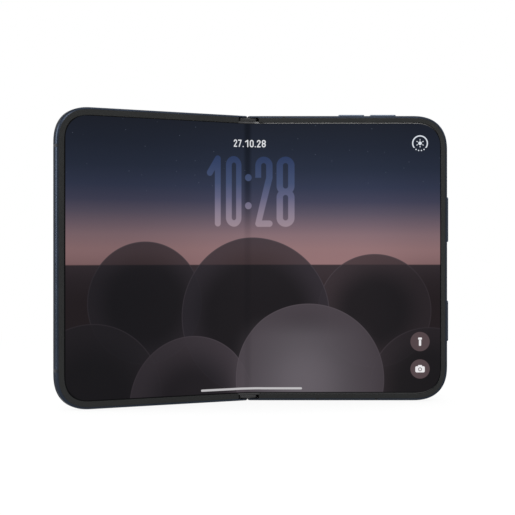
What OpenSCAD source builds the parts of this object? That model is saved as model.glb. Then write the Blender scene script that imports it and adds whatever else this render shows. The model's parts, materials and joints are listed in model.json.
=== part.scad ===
// Book-style folding phone, drawn partly folded and standing on its bottom edge.
// x runs across the phone, y from the inner screen to the back, z up.
// Both halves are drawn flat, with x measured outward from the hinge line and y as the
// depth behind the front plane, and are then turned about the two hinge pivots.

/* [Body] */
// Height of the body
body_h = 120.5; // [118:0.5:135]
// Width of one half, from the hinge line to its outer edge
half_w = 84.8; // [84:0.1:92]
// Thickness of one half without the camera plateau
body_t = 5.2; // [5.15:0.05:5.4]
// Radius of the outer corners
corner_r = 12.5; // [10:0.5:15]
// Radius that rounds the edges of the frame
edge_r = 1.4; // [1:0.1:1.5]
// Width of the metal rim beside the bezel
rim_w = 0.9; // [0.7:0.05:1]
// Thickness of the side walls of the frame
wall_t = 2.2; // [2:0.1:2.3]
// Thickness of the web that carries the screen and the inner parts
web_t = 0.4; // [0.3:0.05:0.5]
// Angle by which the halves are folded from flat, as drawn
fold_angle = 27; // [0:1:120]

/* [Screen] */
// Depth of the inner screen behind the front plane
screen_recess = 0.35; // [0.3:0.05:0.4]
// Thickness of the folding screen laminate
screen_t = 0.6; // [0.5:0.05:0.65]
// Thickness of the backing plate under the flat part of the screen
backing_t = 0.25; // [0.2:0.05:0.3]
// Width of the bezel lip, from the outer edge
bezel_w = 2.9; // [2.8:0.1:3.3]
// Inset of the screen edge, from the outer edge
screen_inset = 2.6; // [2.5:0.05:2.7]
// Half width of the strip of screen that bends
fold_half = 8; // [7.8:0.1:8.4]
// Thickness of the outer screen behind its glass
outer_screen_t = 0.2; // [0.1:0.05:0.25]
// Thickness of the back glass and of the outer screen glass
glass_t = 0.6; // [0.5:0.05:0.65]

/* [Hinge] */
// Depth of the two hinge pivots behind the front plane
pivot_depth = 2.4; // [2.35:0.05:2.45]
// Gap between the two front planes when closed
closed_gap = 0.2; // [0.1:0.05:0.3]
// Thickness of the back lips that cover the spine
lip_t = 0.6; // [0.5:0.05:0.65]
// Running gap between the spine and the halves
spine_gap = 0.1; // [0.08:0.02:0.14]
// Wall of the spine cover
spine_wall = 0.5; // [0.4:0.05:0.6]
// Radius of the hinge shafts
shaft_r = 0.45; // [0.4:0.01:0.46]
// Radius of the idler shafts
idler_shaft_r = 0.35; // [0.3:0.01:0.4]
// Radial clearance of every shaft in its bore
shaft_fit = 0.02; // [0.01:0.01:0.04]
// Teeth on each of the four gears in a hinge module
gear_teeth = 10; // [10:1:12]
// Pitch radius of the gears
gear_r = 0.85; // [0.85:0.005:0.86]
// Thickness of the gears
gear_t = 2; // [1.6:0.1:2.2]
// Backlash of the gears
backlash = 0.04; // [0.03:0.01:0.06]
// Distance of each hinge module from the end of the body
module_inset = 16; // [12:1:24]
// Share of the fold angle by which the wing plates tip
wing_ratio = 0.32; // [0.3:0.01:0.33]
// Thickness of the wing plates
wing_t = 0.3; // [0.25:0.05:0.3]

/* [Buttons] */
// Width of every button
button_w = 1.8; // [1.4:0.1:2]
// Height of the volume and power buttons above the frame
button_proud = 0.47; // [0.3:0.01:0.6]
// Height of the camera button above the frame
camera_button_proud = 0.2; // [0.16:0.01:0.3]
// Length of a volume button
volume_l = 11; // [9:0.5:11.5]
// Distance of the first volume button from the hinge line
volume_x = 38.8; // [36:0.1:42]
// Distance between the starts of the two volume buttons
volume_pitch = 13.4; // [12.8:0.1:15]
// Length of the power button
power_l = 19; // [14:0.5:20]
// Distance of the power button from the top
power_z = 34.4; // [30:0.1:38]
// Length of the camera button
camera_button_l = 17.2; // [12:0.2:18]
// Distance of the camera button from the bottom
camera_button_z = 25; // [24.6:0.1:32]
// Clearance round every button
button_fit = 0.06; // [0.05:0.01:0.1]
// Travel of every button
button_travel = 0.15; // [0.1:0.01:0.15]

/* [Cameras] */
// Length of the camera plateau
plateau_l = 58; // [56:1:60]
// Width of the camera plateau
plateau_w = 25; // [24:0.5:27]
// Height of the plateau above the back glass
plateau_h = 1.9; // [1.2:0.1:2.5]
// Height of the lens rings above the plateau
ring_h = 1.6; // [1:0.1:2]
// Outer radius of the lens rings
ring_r = 8; // [7:0.25:9]
// Distance of the plateau centre from the hinge line
plateau_x = 48; // [46:0.5:50]
// Distance of the plateau centre from the top
plateau_z = 18.5; // [18:0.5:20]

/* [Port and sound] */
// Distance of the charging port from the hinge line
port_x = 42.2; // [41:0.1:44]
// Width of the opening of the charging port
port_w = 8.34; // [8.3:0.01:8.4]
// Height of the opening of the charging port
port_h = 2.56; // [2.5:0.01:2.6]
// Depth of the charging port
port_d = 6.2; // [6:0.1:6.8]
// Wall of the metal shell of the port
port_wall = 0.3; // [0.2:0.02:0.3]
// Radius of the sound holes
hole_r = 0.5; // [0.4:0.05:0.6]
// Number of sound holes in a row
hole_count = 6; // [4:1:8]

/* [Inner parts] */
// Thickness of the main battery
main_battery_t = 2.6; // [2:0.1:2.7]
// Thickness of the cover battery
cover_battery_t = 2.3; // [2:0.1:2.4]
// Width of the main battery
main_battery_w = 42; // [36:1:43]
// Height of the main battery
main_battery_h = 66; // [56:1:68]
// Width of the cover battery
cover_battery_w = 48; // [42:1:49]
// Height of the cover battery
cover_battery_h = 84; // [70:1:86]
// Thickness of the circuit boards
board_t = 0.8; // [0.6:0.1:1]
// Gap that keeps inner parts clear of each other
part_gap = 0.15; // [0.1:0.05:0.2]
// Width of the main speaker
speaker_w = 16; // [12:0.5:18]
// Width of the cover speaker
cover_speaker_w = 14; // [12:0.5:20]
// Width of the vibration motor
motor_w = 15; // [10:0.5:17]
// Height of a closing magnet
magnet_h = 8; // [5:0.5:8.5]
// Width of the antenna bands
band_w = 1.2; // [0.8:0.1:1.6]

/* [Hidden] */
$fn = 48;
eps = 0.01;

// Depths of the layers of a half, from the front plane
screen_back = screen_recess + screen_t;
web_front = screen_back + backing_t;
web_back = web_front + web_t;
glass_front = body_t - glass_t;

// Hinge
pivot_x = pivot_depth + closed_gap / 2;
lip_front = body_t - lip_t;
spine_back = lip_front - spine_gap;
spine_r = spine_back - pivot_depth;
concave_r = spine_r + spine_gap;
frame_x = pivot_x + spine_r + 0.4;
ear_t = 0.8;
ear_round = 0.7;
spine_z = ear_t + spine_gap;
tray_top = pivot_depth + 1.2;
cap_l = screen_inset - spine_z;
cap_top = screen_recess - 0.03;
glass_x = frame_x + 4;
rail_x = glass_x + 1.2;
half_fold = fold_angle / 2;

// Wing plates
bead_r = wing_t;
wing_front = screen_back + 0.1;
wing_pivot_y = wing_front + wing_t;
wing_tip_x = pivot_x + 1.7;
wing_end_z = screen_inset + 1.2;

// Hinge modules: lengths along z from the start of a module
web_plate_t = 0.8;
gear_z = web_plate_t + spine_gap;
hub_end_z = gear_z + gear_t + 0.5;
washer_t = 0.5;
spring_t = 0.3;
spring_count = 4;
module_web_z = hub_end_z + 0.05 + washer_t + 0.05 + spring_count * spring_t + 0.05;
module_l = module_web_z + web_plate_t;
head_t = 0.3;
hub_r = 1;
foot_x = frame_x + 0.4;
foot_l = 9.6;
foot_front = pivot_depth + 0.2;
foot_back = lip_front - 0.6;
screw_r = 0.5;
screw_head_r = 0.9;
screw_head_t = 0.45;
screw_fit = 0.03;

// Gears
pressure = 25;
tooth_out = 0.136;
tooth_in = 0.18;
gear_base_r = gear_r * cos(pressure);
gear_out_r = gear_r + tooth_out;
gear_root_r = gear_r - tooth_in;
idler_x = gear_r;
idler_y = pivot_depth + sqrt(pow(2 * gear_r, 2) - pow(pivot_x - idler_x, 2));
gear_lean = atan2(idler_y - pivot_depth, pivot_x - idler_x);
main_idler_turn = 9;
cover_idler_turn = mesh_turn(main_idler_turn, 180);
main_gear_turn = mesh_turn(main_idler_turn, -gear_lean);
cover_gear_turn = mesh_turn(cover_idler_turn, 180 + gear_lean);

// Rest position of the far pivot, and the box that the phone fills
far_pivot = [pivot_x - 2 * pivot_x * cos(half_fold), pivot_depth - 2 * pivot_x * sin(half_fold)];
reach = half_w - edge_r - pivot_x;
x_min = far_pivot.x - reach * cos(fold_angle)
    - (body_t - edge_r - pivot_depth) * sin(fold_angle) - edge_r;
x_max = half_w + button_proud;
y_min = min(0, far_pivot.y - reach * sin(fold_angle)
    + (edge_r - pivot_depth) * cos(fold_angle) - edge_r);
y_max = body_t + plateau_h + ring_h;
x_mid = (x_min + x_max) / 2;
y_mid = (y_min + y_max) / 2;

// Buttons
flange_t = 0.5;
flange_lip = 0.35;
button_y = (web_back + glass_front) / 2;
power_middle = body_h - power_z - power_l / 2;
camera_button_middle = camera_button_z + camera_button_l / 2;
switch_u = wall_t + part_gap + flange_t + button_travel + 0.05;
switch_t = 0.9;
magnet_z = camera_button_z - flange_lip - part_gap - magnet_h;

// Inner parts
inner_u = switch_u + switch_t + part_gap;
speaker_offset = 14;
mic_offset = 9;
battery_gap = 1;
battery_inset = 7;
battery_shift = 8;
selfie_z = 9;
selfie_size = 6.4;
selfie_body_h = 1.2;
selfie_lens_r = 2.2;
selfie_lens_h = 0.9;
camera_pitch = 24;
lens_r = 5.2;
port_y = glass_front - part_gap - port_wall - port_h / 2;
bands_main_top = [15.6];
bands_main_bottom = [29.7, 54.7];
band_side = 15.8;
band_u = 1.2;
flex_w = 14;
flex_t = 0.12;
flex_y = spine_back - spine_wall - 0.22;
flex_exit_y = pivot_depth + 0.9;

frame_colour = [0.27, 0.31, 0.37];
bezel_colour = [0.1, 0.1, 0.1];
glass_colour = [0.16, 0.18, 0.22];
metal_colour = [0.7, 0.7, 0.72];
steel_colour = [0.55, 0.56, 0.58];
battery_colour = [0.12, 0.12, 0.13];
board_colour = [0.1, 0.22, 0.16];
band_colour = [0.2, 0.23, 0.28];
screen_colour = [0.3, 0.28, 0.36];
copper_colour = [0.72, 0.45, 0.2];

// ---- Functions ----

function polar(r, a) = [r * cos(a), r * sin(a)];
function turned(p, a) = [p.x * cos(a) - p.y * sin(a), p.x * sin(a) + p.y * cos(a)];
function arc(c, r, a0, a1, n = 6) = [for (i = [0:n]) c + polar(r, a0 + (a1 - a0) * i / n)];
function involute(a) = tan(a) * 180 / PI - a;
function tooth_half(r) = 90 / gear_teeth - backlash / gear_r * 90 / PI
    + involute(pressure) - involute(acos(min(1, gear_base_r / r)));
function gear_radii() = [gear_root_r, gear_base_r, gear_r, gear_out_r];
function gear_points() = [for (k = [0:gear_teeth - 1]) each concat(
    [for (i = [0:3]) polar(gear_radii()[i], 360 * k / gear_teeth - tooth_half(gear_radii()[i]))],
    [for (i = [3:-1:0]) polar(gear_radii()[i], 360 * k / gear_teeth + tooth_half(gear_radii()[i]))]
)];
// Turn of a gear that meshes with one turned by a, lying from it in the direction dir
function mesh_turn(a, dir) = 180 / gear_teeth - a + 2 * dir + 180;

// Point of the bending strip in the frame of the spine
function bend_share(x) = x >= fold_half ? 1 : pow(x / fold_half, 2) * (3 - 2 * x / fold_half);
function bent_side(p) = [pivot_x, pivot_depth]
    + turned(p - [pivot_x, pivot_depth], -half_fold * bend_share(p.x));
function bent(p) = p.x < 0 ? [-bent_side([-p.x, p.y]).x, bent_side([-p.x, p.y]).y] : bent_side(p);

// ---- Placing ----

module in_row() {
    translate([-x_mid, -y_mid, 0]) children();
}

module main_half() {
    in_row() children();
}

module spine() {
    in_row() translate([pivot_x, pivot_depth, 0]) rotate(half_fold)
        translate([-pivot_x, -pivot_depth, 0]) children();
}

module cover_half() {
    in_row() translate([far_pivot.x, far_pivot.y, 0]) rotate(fold_angle)
        translate([pivot_x, -pivot_depth, 0]) mirror([1, 0, 0]) children();
}

module both_ends() {
    children();
    translate([0, 0, body_h]) mirror([0, 0, 1]) children();
}

module both_pivots() {
    for (side = [-1, 1]) translate([side * pivot_x, pivot_depth, 0]) children();
}

// Box from corner a to corner b
module block(a, b) {
    translate(a) cube(b - a);
}

// Prism along z of a section in x and y
module along_z(z0, z1) {
    translate([0, 0, z0]) linear_extrude(z1 - z0) children();
}

// Plate of an outline in x and z between two depths
module plate(y0, y1) {
    translate([0, y1, 0]) rotate([90, 0, 0]) linear_extrude(y1 - y0) children();
}

// Outline of a half, from x0 outward, inset by u from its outer edges
module half_outline(x0, u) {
    r = corner_r - u;
    x1 = half_w - u;
    union() {
        translate([x0, u]) square([x1 - r - x0, body_h - 2 * u]);
        translate([x1 - r - eps, u + r]) square([r + eps, body_h - 2 * u - 2 * r]);
        for (z = [u + r, body_h - u - r]) translate([x1 - r, z]) circle(r);
    }
}

// Section in u, the distance from the outer edge, and y, swept round the three outer edges
module edge_sweep(x0) {
    run = half_w - corner_r - x0;
    both_ends() {
        translate([x0, 0, 0]) mirror([0, 0, 1]) rotate([0, 90, 0]) linear_extrude(run) children();
        translate([half_w - corner_r, 0, corner_r]) rotate([-90, 0, 0])
            rotate_extrude(angle = 90) translate([corner_r, 0]) mirror([1, 0]) children();
    }
    along_z(corner_r, body_h - corner_r) translate([half_w, 0]) mirror([1, 0]) children();
}

// Rounded bar of length l and width w along x, centred
module pill(l, w) {
    square([l - w, w], center = true);
    for (side = [-1, 1]) translate([side * (l - w) / 2, 0]) circle(w / 2);
}

// ---- Frames ----

module wall_section() {
    polygon(concat(
        arc([edge_r, edge_r], edge_r, 180, 180 + acos((edge_r - rim_w) / edge_r)),
        [
            [rim_w, screen_back], [screen_inset, screen_back],
            [screen_inset, web_front], [wall_t + 1.4, web_front], [wall_t + 1.4, web_back],
            [wall_t, web_back], [wall_t, glass_front], [edge_r, glass_front]
        ],
        arc([edge_r, body_t - edge_r], edge_r, 90, 180)
    ));
}

// Outer part of the wall section, which carries on past the end of the wall as the ear
module ear_section() {
    intersection() {
        wall_section();
        square([ear_t, body_t]);
    }
}

// Rounded end of an ear, from its outer face inward, with its tip at radius r
module ear_tip_profile(r) {
    square([r - ear_round, ear_t]);
    translate([0, ear_round]) square([r, ear_t - ear_round]);
    translate([r - ear_round, ear_round]) circle(ear_round);
}

// Thin ear of the frame that closes the end of the hinge and turns clear of its twin
module ear() {
    r = pivot_x - closed_gap / 4;
    intersection() {
        translate([-1, 0, 0]) mirror([0, 0, 1]) rotate([0, 90, 0])
            linear_extrude(frame_x + 1.5) ear_section();
        translate([pivot_x, pivot_depth, 0]) union() {
            rotate_extrude(angle = 90, start = 180) ear_tip_profile(r);
            translate([0, -pivot_depth, 0]) cube([frame_x, body_t, ear_t]);
            translate([0, body_t - pivot_depth, 0]) rotate([90, 0, 0])
                linear_extrude(body_t - pivot_depth) mirror([1, 0]) ear_tip_profile(r);
        }
    }
}

// Rail of the frame along the hinge, with the lip that covers the spine
module rail_section() {
    polygon(concat(
        [[spine_gap * 1.5, lip_front]],
        arc([pivot_x, pivot_depth], concave_r, 90, 33, 5),
        [
            [fold_half - 0.4, web_back + 0.42], [fold_half - 0.34, web_back + 0.12],
            [fold_half + bead_r + 0.06, web_back + 0.12], [fold_half + bead_r + 0.06, web_front],
            [rail_x, web_front], [rail_x, glass_front], [glass_x, glass_front],
            [glass_x, body_t], [spine_gap * 1.5 + 0.25, body_t], [spine_gap * 1.5, body_t - 0.25]
        ]
    ));
}

// Space of the hinge arm and its foot in the frame
module arm_pocket() {
    block([pivot_x, -eps, module_inset + gear_z - spine_gap],
        [foot_x + foot_l + 0.1, foot_back, module_inset + module_web_z + spine_gap]);
}

module arm_seat() {
    block([glass_x, web_front, module_inset + gear_z - 1],
        [foot_x + foot_l + 1.2, glass_front, module_inset + module_web_z + 1]);
}

module arm_screw_places() {
    for (x = [foot_x + 2.4, foot_x + foot_l - 1.8])
        translate([x, 0, module_inset + (gear_z + module_web_z) / 2]) rotate([-90, 0, 0]) children();
}

module flex_slot() {
    block([pivot_x, flex_exit_y - 0.3, (body_h - flex_w) / 2 - 0.5],
        [rail_x + 1, flex_y + 0.2, (body_h + flex_w) / 2 + 0.5]);
}

module half_frame() {
    difference() {
        union() {
            edge_sweep(frame_x) wall_section();
            plate(web_front, web_back) half_outline(fold_half + bead_r + 0.06, 1.05);
            along_z(spine_z, body_h - spine_z) rail_section();
            both_ends() {
                ear();
                arm_seat();
            }
        }
        both_ends() {
            arm_pocket();
            arm_screw_places() cylinder(r = screw_r + screw_fit, h = glass_front - 0.05);
        }
        flex_slot();
    }
}

// Slabs that mark the antenna bands
module side_bands() {
    both_ends() block([half_w - band_u, -1, band_side - band_w / 2],
        [half_w + 1, body_t + 1, band_side + band_w / 2]);
}

module edge_band(x) {
    block([x - band_w / 2, -1, -1], [x + band_w / 2, body_t + 1, band_u]);
}

module main_bands() {
    side_bands();
    for (x = bands_main_bottom) edge_band(x);
    translate([0, 0, body_h]) mirror([0, 0, 1]) for (x = bands_main_top) edge_band(x);
}

module volume_place(i) {
    translate([volume_x + volume_l / 2 + i * volume_pitch, button_y, body_h]) rotate([180, 0, 0])
        children();
}

module side_place(z) {
    translate([half_w, button_y, z]) rotate([0, -90, 0]) children();
}

module button_slot(l) {
    translate([0, 0, -1]) linear_extrude(wall_t + 2)
        pill(l + 2 * button_fit, button_w + 2 * button_fit);
}

module sound_holes(x, n) {
    for (i = [0:n - 1]) translate([x + i * 2.2, button_y, -1]) cylinder(r = hole_r, h = wall_t + 2);
}

module port_pocket() {
    l = port_w + 2 * port_wall + 0.1;
    h = port_h + 2 * port_wall + 0.1;
    translate([port_x, port_y, -1]) linear_extrude(port_d + port_wall + 1.5) pill(l, h);
}

module camera_window(i) {
    translate([plateau_x + (i - 0.5) * camera_pitch, 0, body_h - plateau_z]) rotate([-90, 0, 0])
        children();
}

module main_frame() {
    color(frame_colour) main_half() difference() {
        half_frame();
        main_bands();
        for (i = [0, 1]) volume_place(i) button_slot(volume_l);
        side_place(power_middle) button_slot(power_l);
        side_place(camera_button_middle) button_slot(camera_button_l);
        port_pocket();
        sound_holes(port_x + speaker_offset + 2, hole_count);
        sound_holes(port_x - mic_offset, 1);
    }
}

module cover_frame() {
    color(frame_colour) cover_half() difference() {
        half_frame();
        side_bands();
        sound_holes(half_w / 2 - 5.5, hole_count);
    }
}

module main_antenna_bands() {
    color(band_colour) main_half() intersection() {
        edge_sweep(frame_x) wall_section();
        main_bands();
    }
}

module cover_antenna_bands() {
    color(band_colour) cover_half() intersection() {
        edge_sweep(frame_x) wall_section();
        side_bands();
    }
}

// ---- Bezels, glass and screen ----

module bezel_section() {
    u0 = rim_w + 0.02;
    polygon([
        [u0, 0.12], [u0 + 0.4, 0.02], [bezel_w - 0.2, 0.02], [bezel_w, 0.15],
        [bezel_w, screen_recess - 0.03], [screen_inset - 0.03, screen_recess - 0.03],
        [screen_inset - 0.03, screen_back], [u0, screen_back]
    ]);
}

module bezel() {
    edge_sweep(frame_x) bezel_section();
}

module main_bezel() {
    color(bezel_colour) main_half() bezel();
}

module cover_bezel() {
    color(bezel_colour) cover_half() bezel();
}

module back_panel() {
    plate(glass_front, body_t) half_outline(glass_x + 0.05, edge_r + 0.05);
}

module main_back_glass() {
    color(glass_colour) main_half() difference() {
        back_panel();
        for (i = [0, 1]) camera_window(i) cylinder(r = lens_r + 0.1, h = 2 * body_t);
        flash_place() cylinder(r = 1.6, h = 2 * body_t);
    }
}

module cover_glass() {
    color(glass_colour) cover_half() back_panel();
}

module inner_panel() {
    plate(screen_recess, screen_back) half_outline(fold_half + 0.02, screen_inset);
}

module main_screen_panel() {
    color(screen_colour) main_half() inner_panel();
}

module cover_inner_panel() {
    color(screen_colour) cover_half() inner_panel();
}

module backing_plate() {
    difference() {
        plate(screen_back, web_front) half_outline(fold_half + bead_r + 0.06, screen_inset + 0.05);
        both_ends() arm_pocket();
    }
}

module main_backing_plate() {
    color(steel_colour) main_half() backing_plate();
}

module cover_backing_plate() {
    color(steel_colour) cover_half() backing_plate();
}

module cover_screen_panel() {
    color(screen_colour) cover_half() plate(glass_front - outer_screen_t, glass_front)
        half_outline(cover_battery_x - part_gap, wall_t + part_gap);
}

// Strip of the inner screen that bends over the spine
module fold_strip() {
    steps = 32;
    xs = [for (i = [0:steps]) -fold_half + 2 * fold_half * i / steps];
    front = [for (x = xs) bent([x, screen_recess])];
    back = [for (i = [steps:-1:0]) bent([xs[i], screen_back])];
    color(screen_colour) spine() along_z(screen_inset, body_h - screen_inset)
        polygon(concat(front, back));
}

// ---- Buttons ----

// Button drawn at the origin, with z pointing inward from the outer edge
module button(l, proud) {
    union() {
        translate([0, 0, -proud]) linear_extrude(proud + wall_t + part_gap + eps)
            pill(l, button_w);
        translate([0, 0, wall_t + part_gap]) linear_extrude(flange_t)
            square([l + 2 * flange_lip, button_w + 2 * flange_lip], center = true);
    }
}

module button_switch() {
    block([-1.6, -1, switch_u], [1.6, 1, switch_u + switch_t]);
}

module volume_up_button() {
    color(frame_colour) main_half() volume_place(1) button(volume_l, button_proud);
}

module volume_down_button() {
    color(frame_colour) main_half() volume_place(0) button(volume_l, button_proud);
}

module power_button() {
    color(frame_colour) main_half() side_place(power_middle) button(power_l, button_proud);
}

module camera_button() {
    color(frame_colour) main_half() side_place(camera_button_middle)
        button(camera_button_l, camera_button_proud);
}

module button_switches() {
    color(metal_colour) main_half() {
        for (i = [0, 1]) volume_place(i) button_switch();
        side_place(power_middle) button_switch();
        side_place(camera_button_middle) button_switch();
    }
}

// ---- Hinge ----

module gear(bore_r, turn) {
    rotate(turn) linear_extrude(gear_t) difference() {
        polygon(gear_points());
        circle(bore_r);
    }
}

// Arm of a half with its gear, drawn at the hinge module of the bottom end
module hinge_arm(turn) {
    z0 = module_inset + gear_z;
    difference() {
        union() {
            translate([pivot_x, pivot_depth, z0]) gear(shaft_r + shaft_fit, turn);
            translate([pivot_x, pivot_depth, z0 + gear_t - eps])
                cylinder(r = hub_r, h = hub_end_z - gear_z - gear_t + eps);
            along_z(z0, module_inset + hub_end_z) polygon([
                [pivot_x + 0.5, pivot_depth + 0.35], [pivot_x + 1.1, pivot_depth + 0.35],
                [foot_x + 0.2, pivot_depth + 0.35], [foot_x + 0.2, foot_back - 0.65],
                [pivot_x + 0.4, foot_back - 0.65], [pivot_x + 0.2, pivot_depth + 0.6]
            ]);
            block([foot_x, foot_front, z0],
                [foot_x + foot_l, foot_back, module_inset + module_web_z]);
        }
        translate([pivot_x, pivot_depth, z0 - 1]) cylinder(r = shaft_r + shaft_fit, h = module_l);
        arm_screw_places() cylinder(r = screw_r + screw_fit, h = body_t);
    }
}

module arm_screws() {
    both_ends() arm_screw_places() {
        translate([0, 0, foot_front - screw_head_t]) cylinder(r = screw_head_r, h = screw_head_t);
        translate([0, 0, foot_front]) cylinder(r = screw_r, h = glass_front - 0.1 - foot_front);
    }
}

module main_hinge_arms() {
    color(metal_colour) main_half() both_ends() hinge_arm(main_gear_turn + half_fold);
}

module cover_hinge_arms() {
    color(metal_colour) cover_half() both_ends() hinge_arm(180 - cover_gear_turn + half_fold);
}

module main_arm_screws() {
    color(steel_colour) main_half() arm_screws();
}

module cover_arm_screws() {
    color(steel_colour) cover_half() arm_screws();
}

module wing_section() {
    circle(bead_r);
    translate([-(fold_half - wing_tip_x), -wing_t]) square([fold_half - wing_tip_x, wing_t]);
}

module wing_plate() {
    difference() {
        translate([fold_half, wing_pivot_y, 0]) rotate(-wing_ratio * half_fold)
            along_z(wing_end_z, body_h - wing_end_z) wing_section();
        both_ends() block([0, 0, module_inset + gear_z - 0.4],
            [fold_half - 1.1, body_t, module_inset + module_web_z + 0.4]);
    }
}

module main_wing_plate() {
    color(metal_colour) main_half() wing_plate();
}

module cover_wing_plate() {
    color(metal_colour) cover_half() wing_plate();
}

module spine_outline(r, back) {
    for (side = [-1, 1]) translate([side * pivot_x, pivot_depth]) circle(r);
    translate([-pivot_x, pivot_depth]) square([2 * pivot_x, back - pivot_depth]);
}

module spine_cover() {
    z0 = spine_z + cap_l + 0.02;
    color(frame_colour) spine() difference() {
        along_z(z0, body_h - z0) spine_outline(spine_r, spine_back);
        along_z(z0 - 1, body_h - z0 + 1)
            spine_outline(spine_r - spine_wall, spine_back - spine_wall);
        block([-2 * frame_x, -frame_x, 0], [2 * frame_x, tray_top, body_h]);
    }
}

module spine_base() {
    floor_back = spine_back - spine_wall - 0.05;
    color(steel_colour) spine() difference() {
        union() {
            along_z(screen_inset + 0.2, body_h - screen_inset - 0.2) {
                translate([-1.3, screen_back + 0.05]) square([2.6, 0.3]);
                translate([-0.4, screen_back + 0.3]) square([0.8, floor_back - screen_back - 0.3]);
                translate([-2.7, floor_back - 0.45]) square([5.4, 0.45]);
            }
            both_ends() for (z = [0, module_web_z])
                along_z(module_inset + z, module_inset + z + web_plate_t) polygon([
                    [-3.7, 1.35], [3.7, 1.35], [3.7, tray_top - 0.2], [2.9, floor_back],
                    [-2.9, floor_back], [-3.7, tray_top - 0.2]
                ]);
        }
        both_ends() {
            block([-frame_x, 1.36, module_inset + web_plate_t],
                [frame_x, body_t, module_inset + module_web_z]);
            translate([0, 0, module_inset - 1]) both_pivots()
                cylinder(r = shaft_r + shaft_fit, h = module_l + 2);
            for (side = [-1, 1]) translate([side * idler_x, idler_y, module_inset - 1])
                cylinder(r = idler_shaft_r + shaft_fit, h = module_l + 2);
        }
        block([-frame_x, 1.36, (body_h - flex_w) / 2 - 0.5],
            [frame_x, body_t, (body_h + flex_w) / 2 + 0.5]);
    }
}

module cap_outline(r, front) {
    spine_outline(r, pivot_depth + r);
    translate([-pivot_x, front]) square([2 * pivot_x, pivot_depth - front + eps]);
}

module spine_end_caps() {
    groove_l = 0.4;
    color(frame_colour) spine() both_ends() union() {
        along_z(spine_z, spine_z + cap_l) cap_outline(spine_r - 0.35, screen_recess + 0.3);
        along_z(spine_z, screen_inset - groove_l - 0.15) cap_outline(spine_r, cap_top);
        along_z(screen_inset - 0.15, spine_z + cap_l) cap_outline(spine_r, cap_top);
    }
}

module hinge_shafts() {
    color(steel_colour) spine() both_ends() both_pivots() {
        translate([0, 0, module_inset]) cylinder(r = shaft_r, h = module_l);
        translate([0, 0, module_inset + module_l]) cylinder(r = shaft_r + 0.3, h = head_t);
    }
}

module idler_places() {
    both_ends() translate([0, 0, module_inset]) children();
}

module idler_shafts() {
    color(steel_colour) spine() idler_places() for (side = [-1, 1])
        translate([side * idler_x, idler_y, 0]) cylinder(r = idler_shaft_r, h = module_l);
}

module disc_springs() {
    color(steel_colour) spine() idler_places() both_pivots() for (i = [0:spring_count - 1])
        translate([0, 0, hub_end_z + 0.1 + washer_t + i * spring_t]) difference() {
            cylinder(r1 = 0.95 - 0.1 * (i % 2), r2 = 0.85 + 0.1 * (i % 2), h = spring_t - 0.02);
            translate([0, 0, -1]) cylinder(r = shaft_r + shaft_fit, h = 2);
        }
}

module friction_washers() {
    color(copper_colour) spine() idler_places() both_pivots()
        translate([0, 0, hub_end_z + 0.05]) difference() {
            cylinder(r = hub_r, h = washer_t);
            translate([0, 0, -1]) cylinder(r = shaft_r + shaft_fit, h = 3);
        }
}

module main_idler_gears() {
    color(metal_colour) spine() idler_places() translate([idler_x, idler_y, gear_z])
        gear(idler_shaft_r + shaft_fit, main_idler_turn);
}

module cover_idler_gears() {
    color(metal_colour) spine() idler_places() translate([-idler_x, idler_y, gear_z])
        gear(idler_shaft_r + shaft_fit, cover_idler_turn);
}

// Flat cable that crosses the hinge under the pivots
module hinge_flex_cable() {
    flat = [
        [-rail_x - 3, flex_exit_y], [-fold_half, flex_exit_y], [-pivot_x - 1.1, flex_exit_y],
        [-pivot_x, flex_y - 0.2], [-pivot_x + 1, flex_y], [pivot_x - 1, flex_y],
        [pivot_x, flex_y - 0.2], [pivot_x + 1.1, flex_exit_y], [fold_half, flex_exit_y],
        [rail_x + 3, flex_exit_y]
    ];
    n = len(flat) - 1;
    color(copper_colour) spine() along_z((body_h - flex_w) / 2, (body_h + flex_w) / 2)
        polygon(concat([for (p = flat) bent(p)],
            [for (i = [n:-1:0]) bent(flat[i] + [0, flex_t])]));
}

// ---- Main half, inner parts ----

main_battery_x = rail_x + battery_inset;
main_battery_z = (body_h - main_battery_h) / 2 - battery_shift;
board_x = main_battery_x + main_battery_w + battery_gap;

module cell(x, z, w, h, t) {
    block([x, web_back + part_gap, z], [x + w, web_back + part_gap + t, z + h]);
}

module main_battery() {
    color(battery_colour) main_half()
        cell(main_battery_x, main_battery_z, main_battery_w, main_battery_h, main_battery_t);
}

module logic_board_block(y0, y1, u) {
    block([board_x + u, y0, main_battery_z + 2 + u],
        [half_w - inner_u - u, y1, main_battery_z + main_battery_h - 2 - u]);
}

board_back = web_back + part_gap + board_t;

module board_screw_places() {
    for (x = [board_x + 1.2, half_w - inner_u - 1.2])
        for (z = [main_battery_z + 3.2, main_battery_z + main_battery_h - 3.2])
            translate([x, 0, z]) rotate([-90, 0, 0]) children();
}

module logic_board() {
    color(board_colour) main_half() difference() {
        logic_board_block(web_back + part_gap, board_back, 0);
        board_screw_places() cylinder(r = 0.45 + screw_fit, h = body_t);
    }
}

module board_screws() {
    color(steel_colour) main_half() board_screw_places() {
        translate([0, 0, web_back + 0.05]) cylinder(r = 0.45, h = board_back - web_back - 0.05);
        translate([0, 0, board_back]) cylinder(r = 0.75, h = 0.4);
    }
}

module board_shields() {
    h = main_battery_h / 3 - 4;
    color(metal_colour) main_half() for (i = [0:2])
        block([board_x + 2.4, board_back, main_battery_z + 4.5 + i * (h + 1)],
            [half_w - inner_u - 2.4, board_back + 1.2, main_battery_z + 4.5 + i * (h + 1) + h]);
}

module camera_body(i, size, lens) {
    camera_window(i) {
        translate([-size / 2, -size / 2, web_back + part_gap])
            cube([size, size, glass_front - web_back - 2 * part_gap]);
        translate([0, 0, glass_front - part_gap - eps])
            cylinder(r = lens, h = glass_t + plateau_h + part_gap);
    }
}

module wide_camera() {
    color(battery_colour) main_half() camera_body(1, 13, lens_r - 0.2);
}

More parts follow.
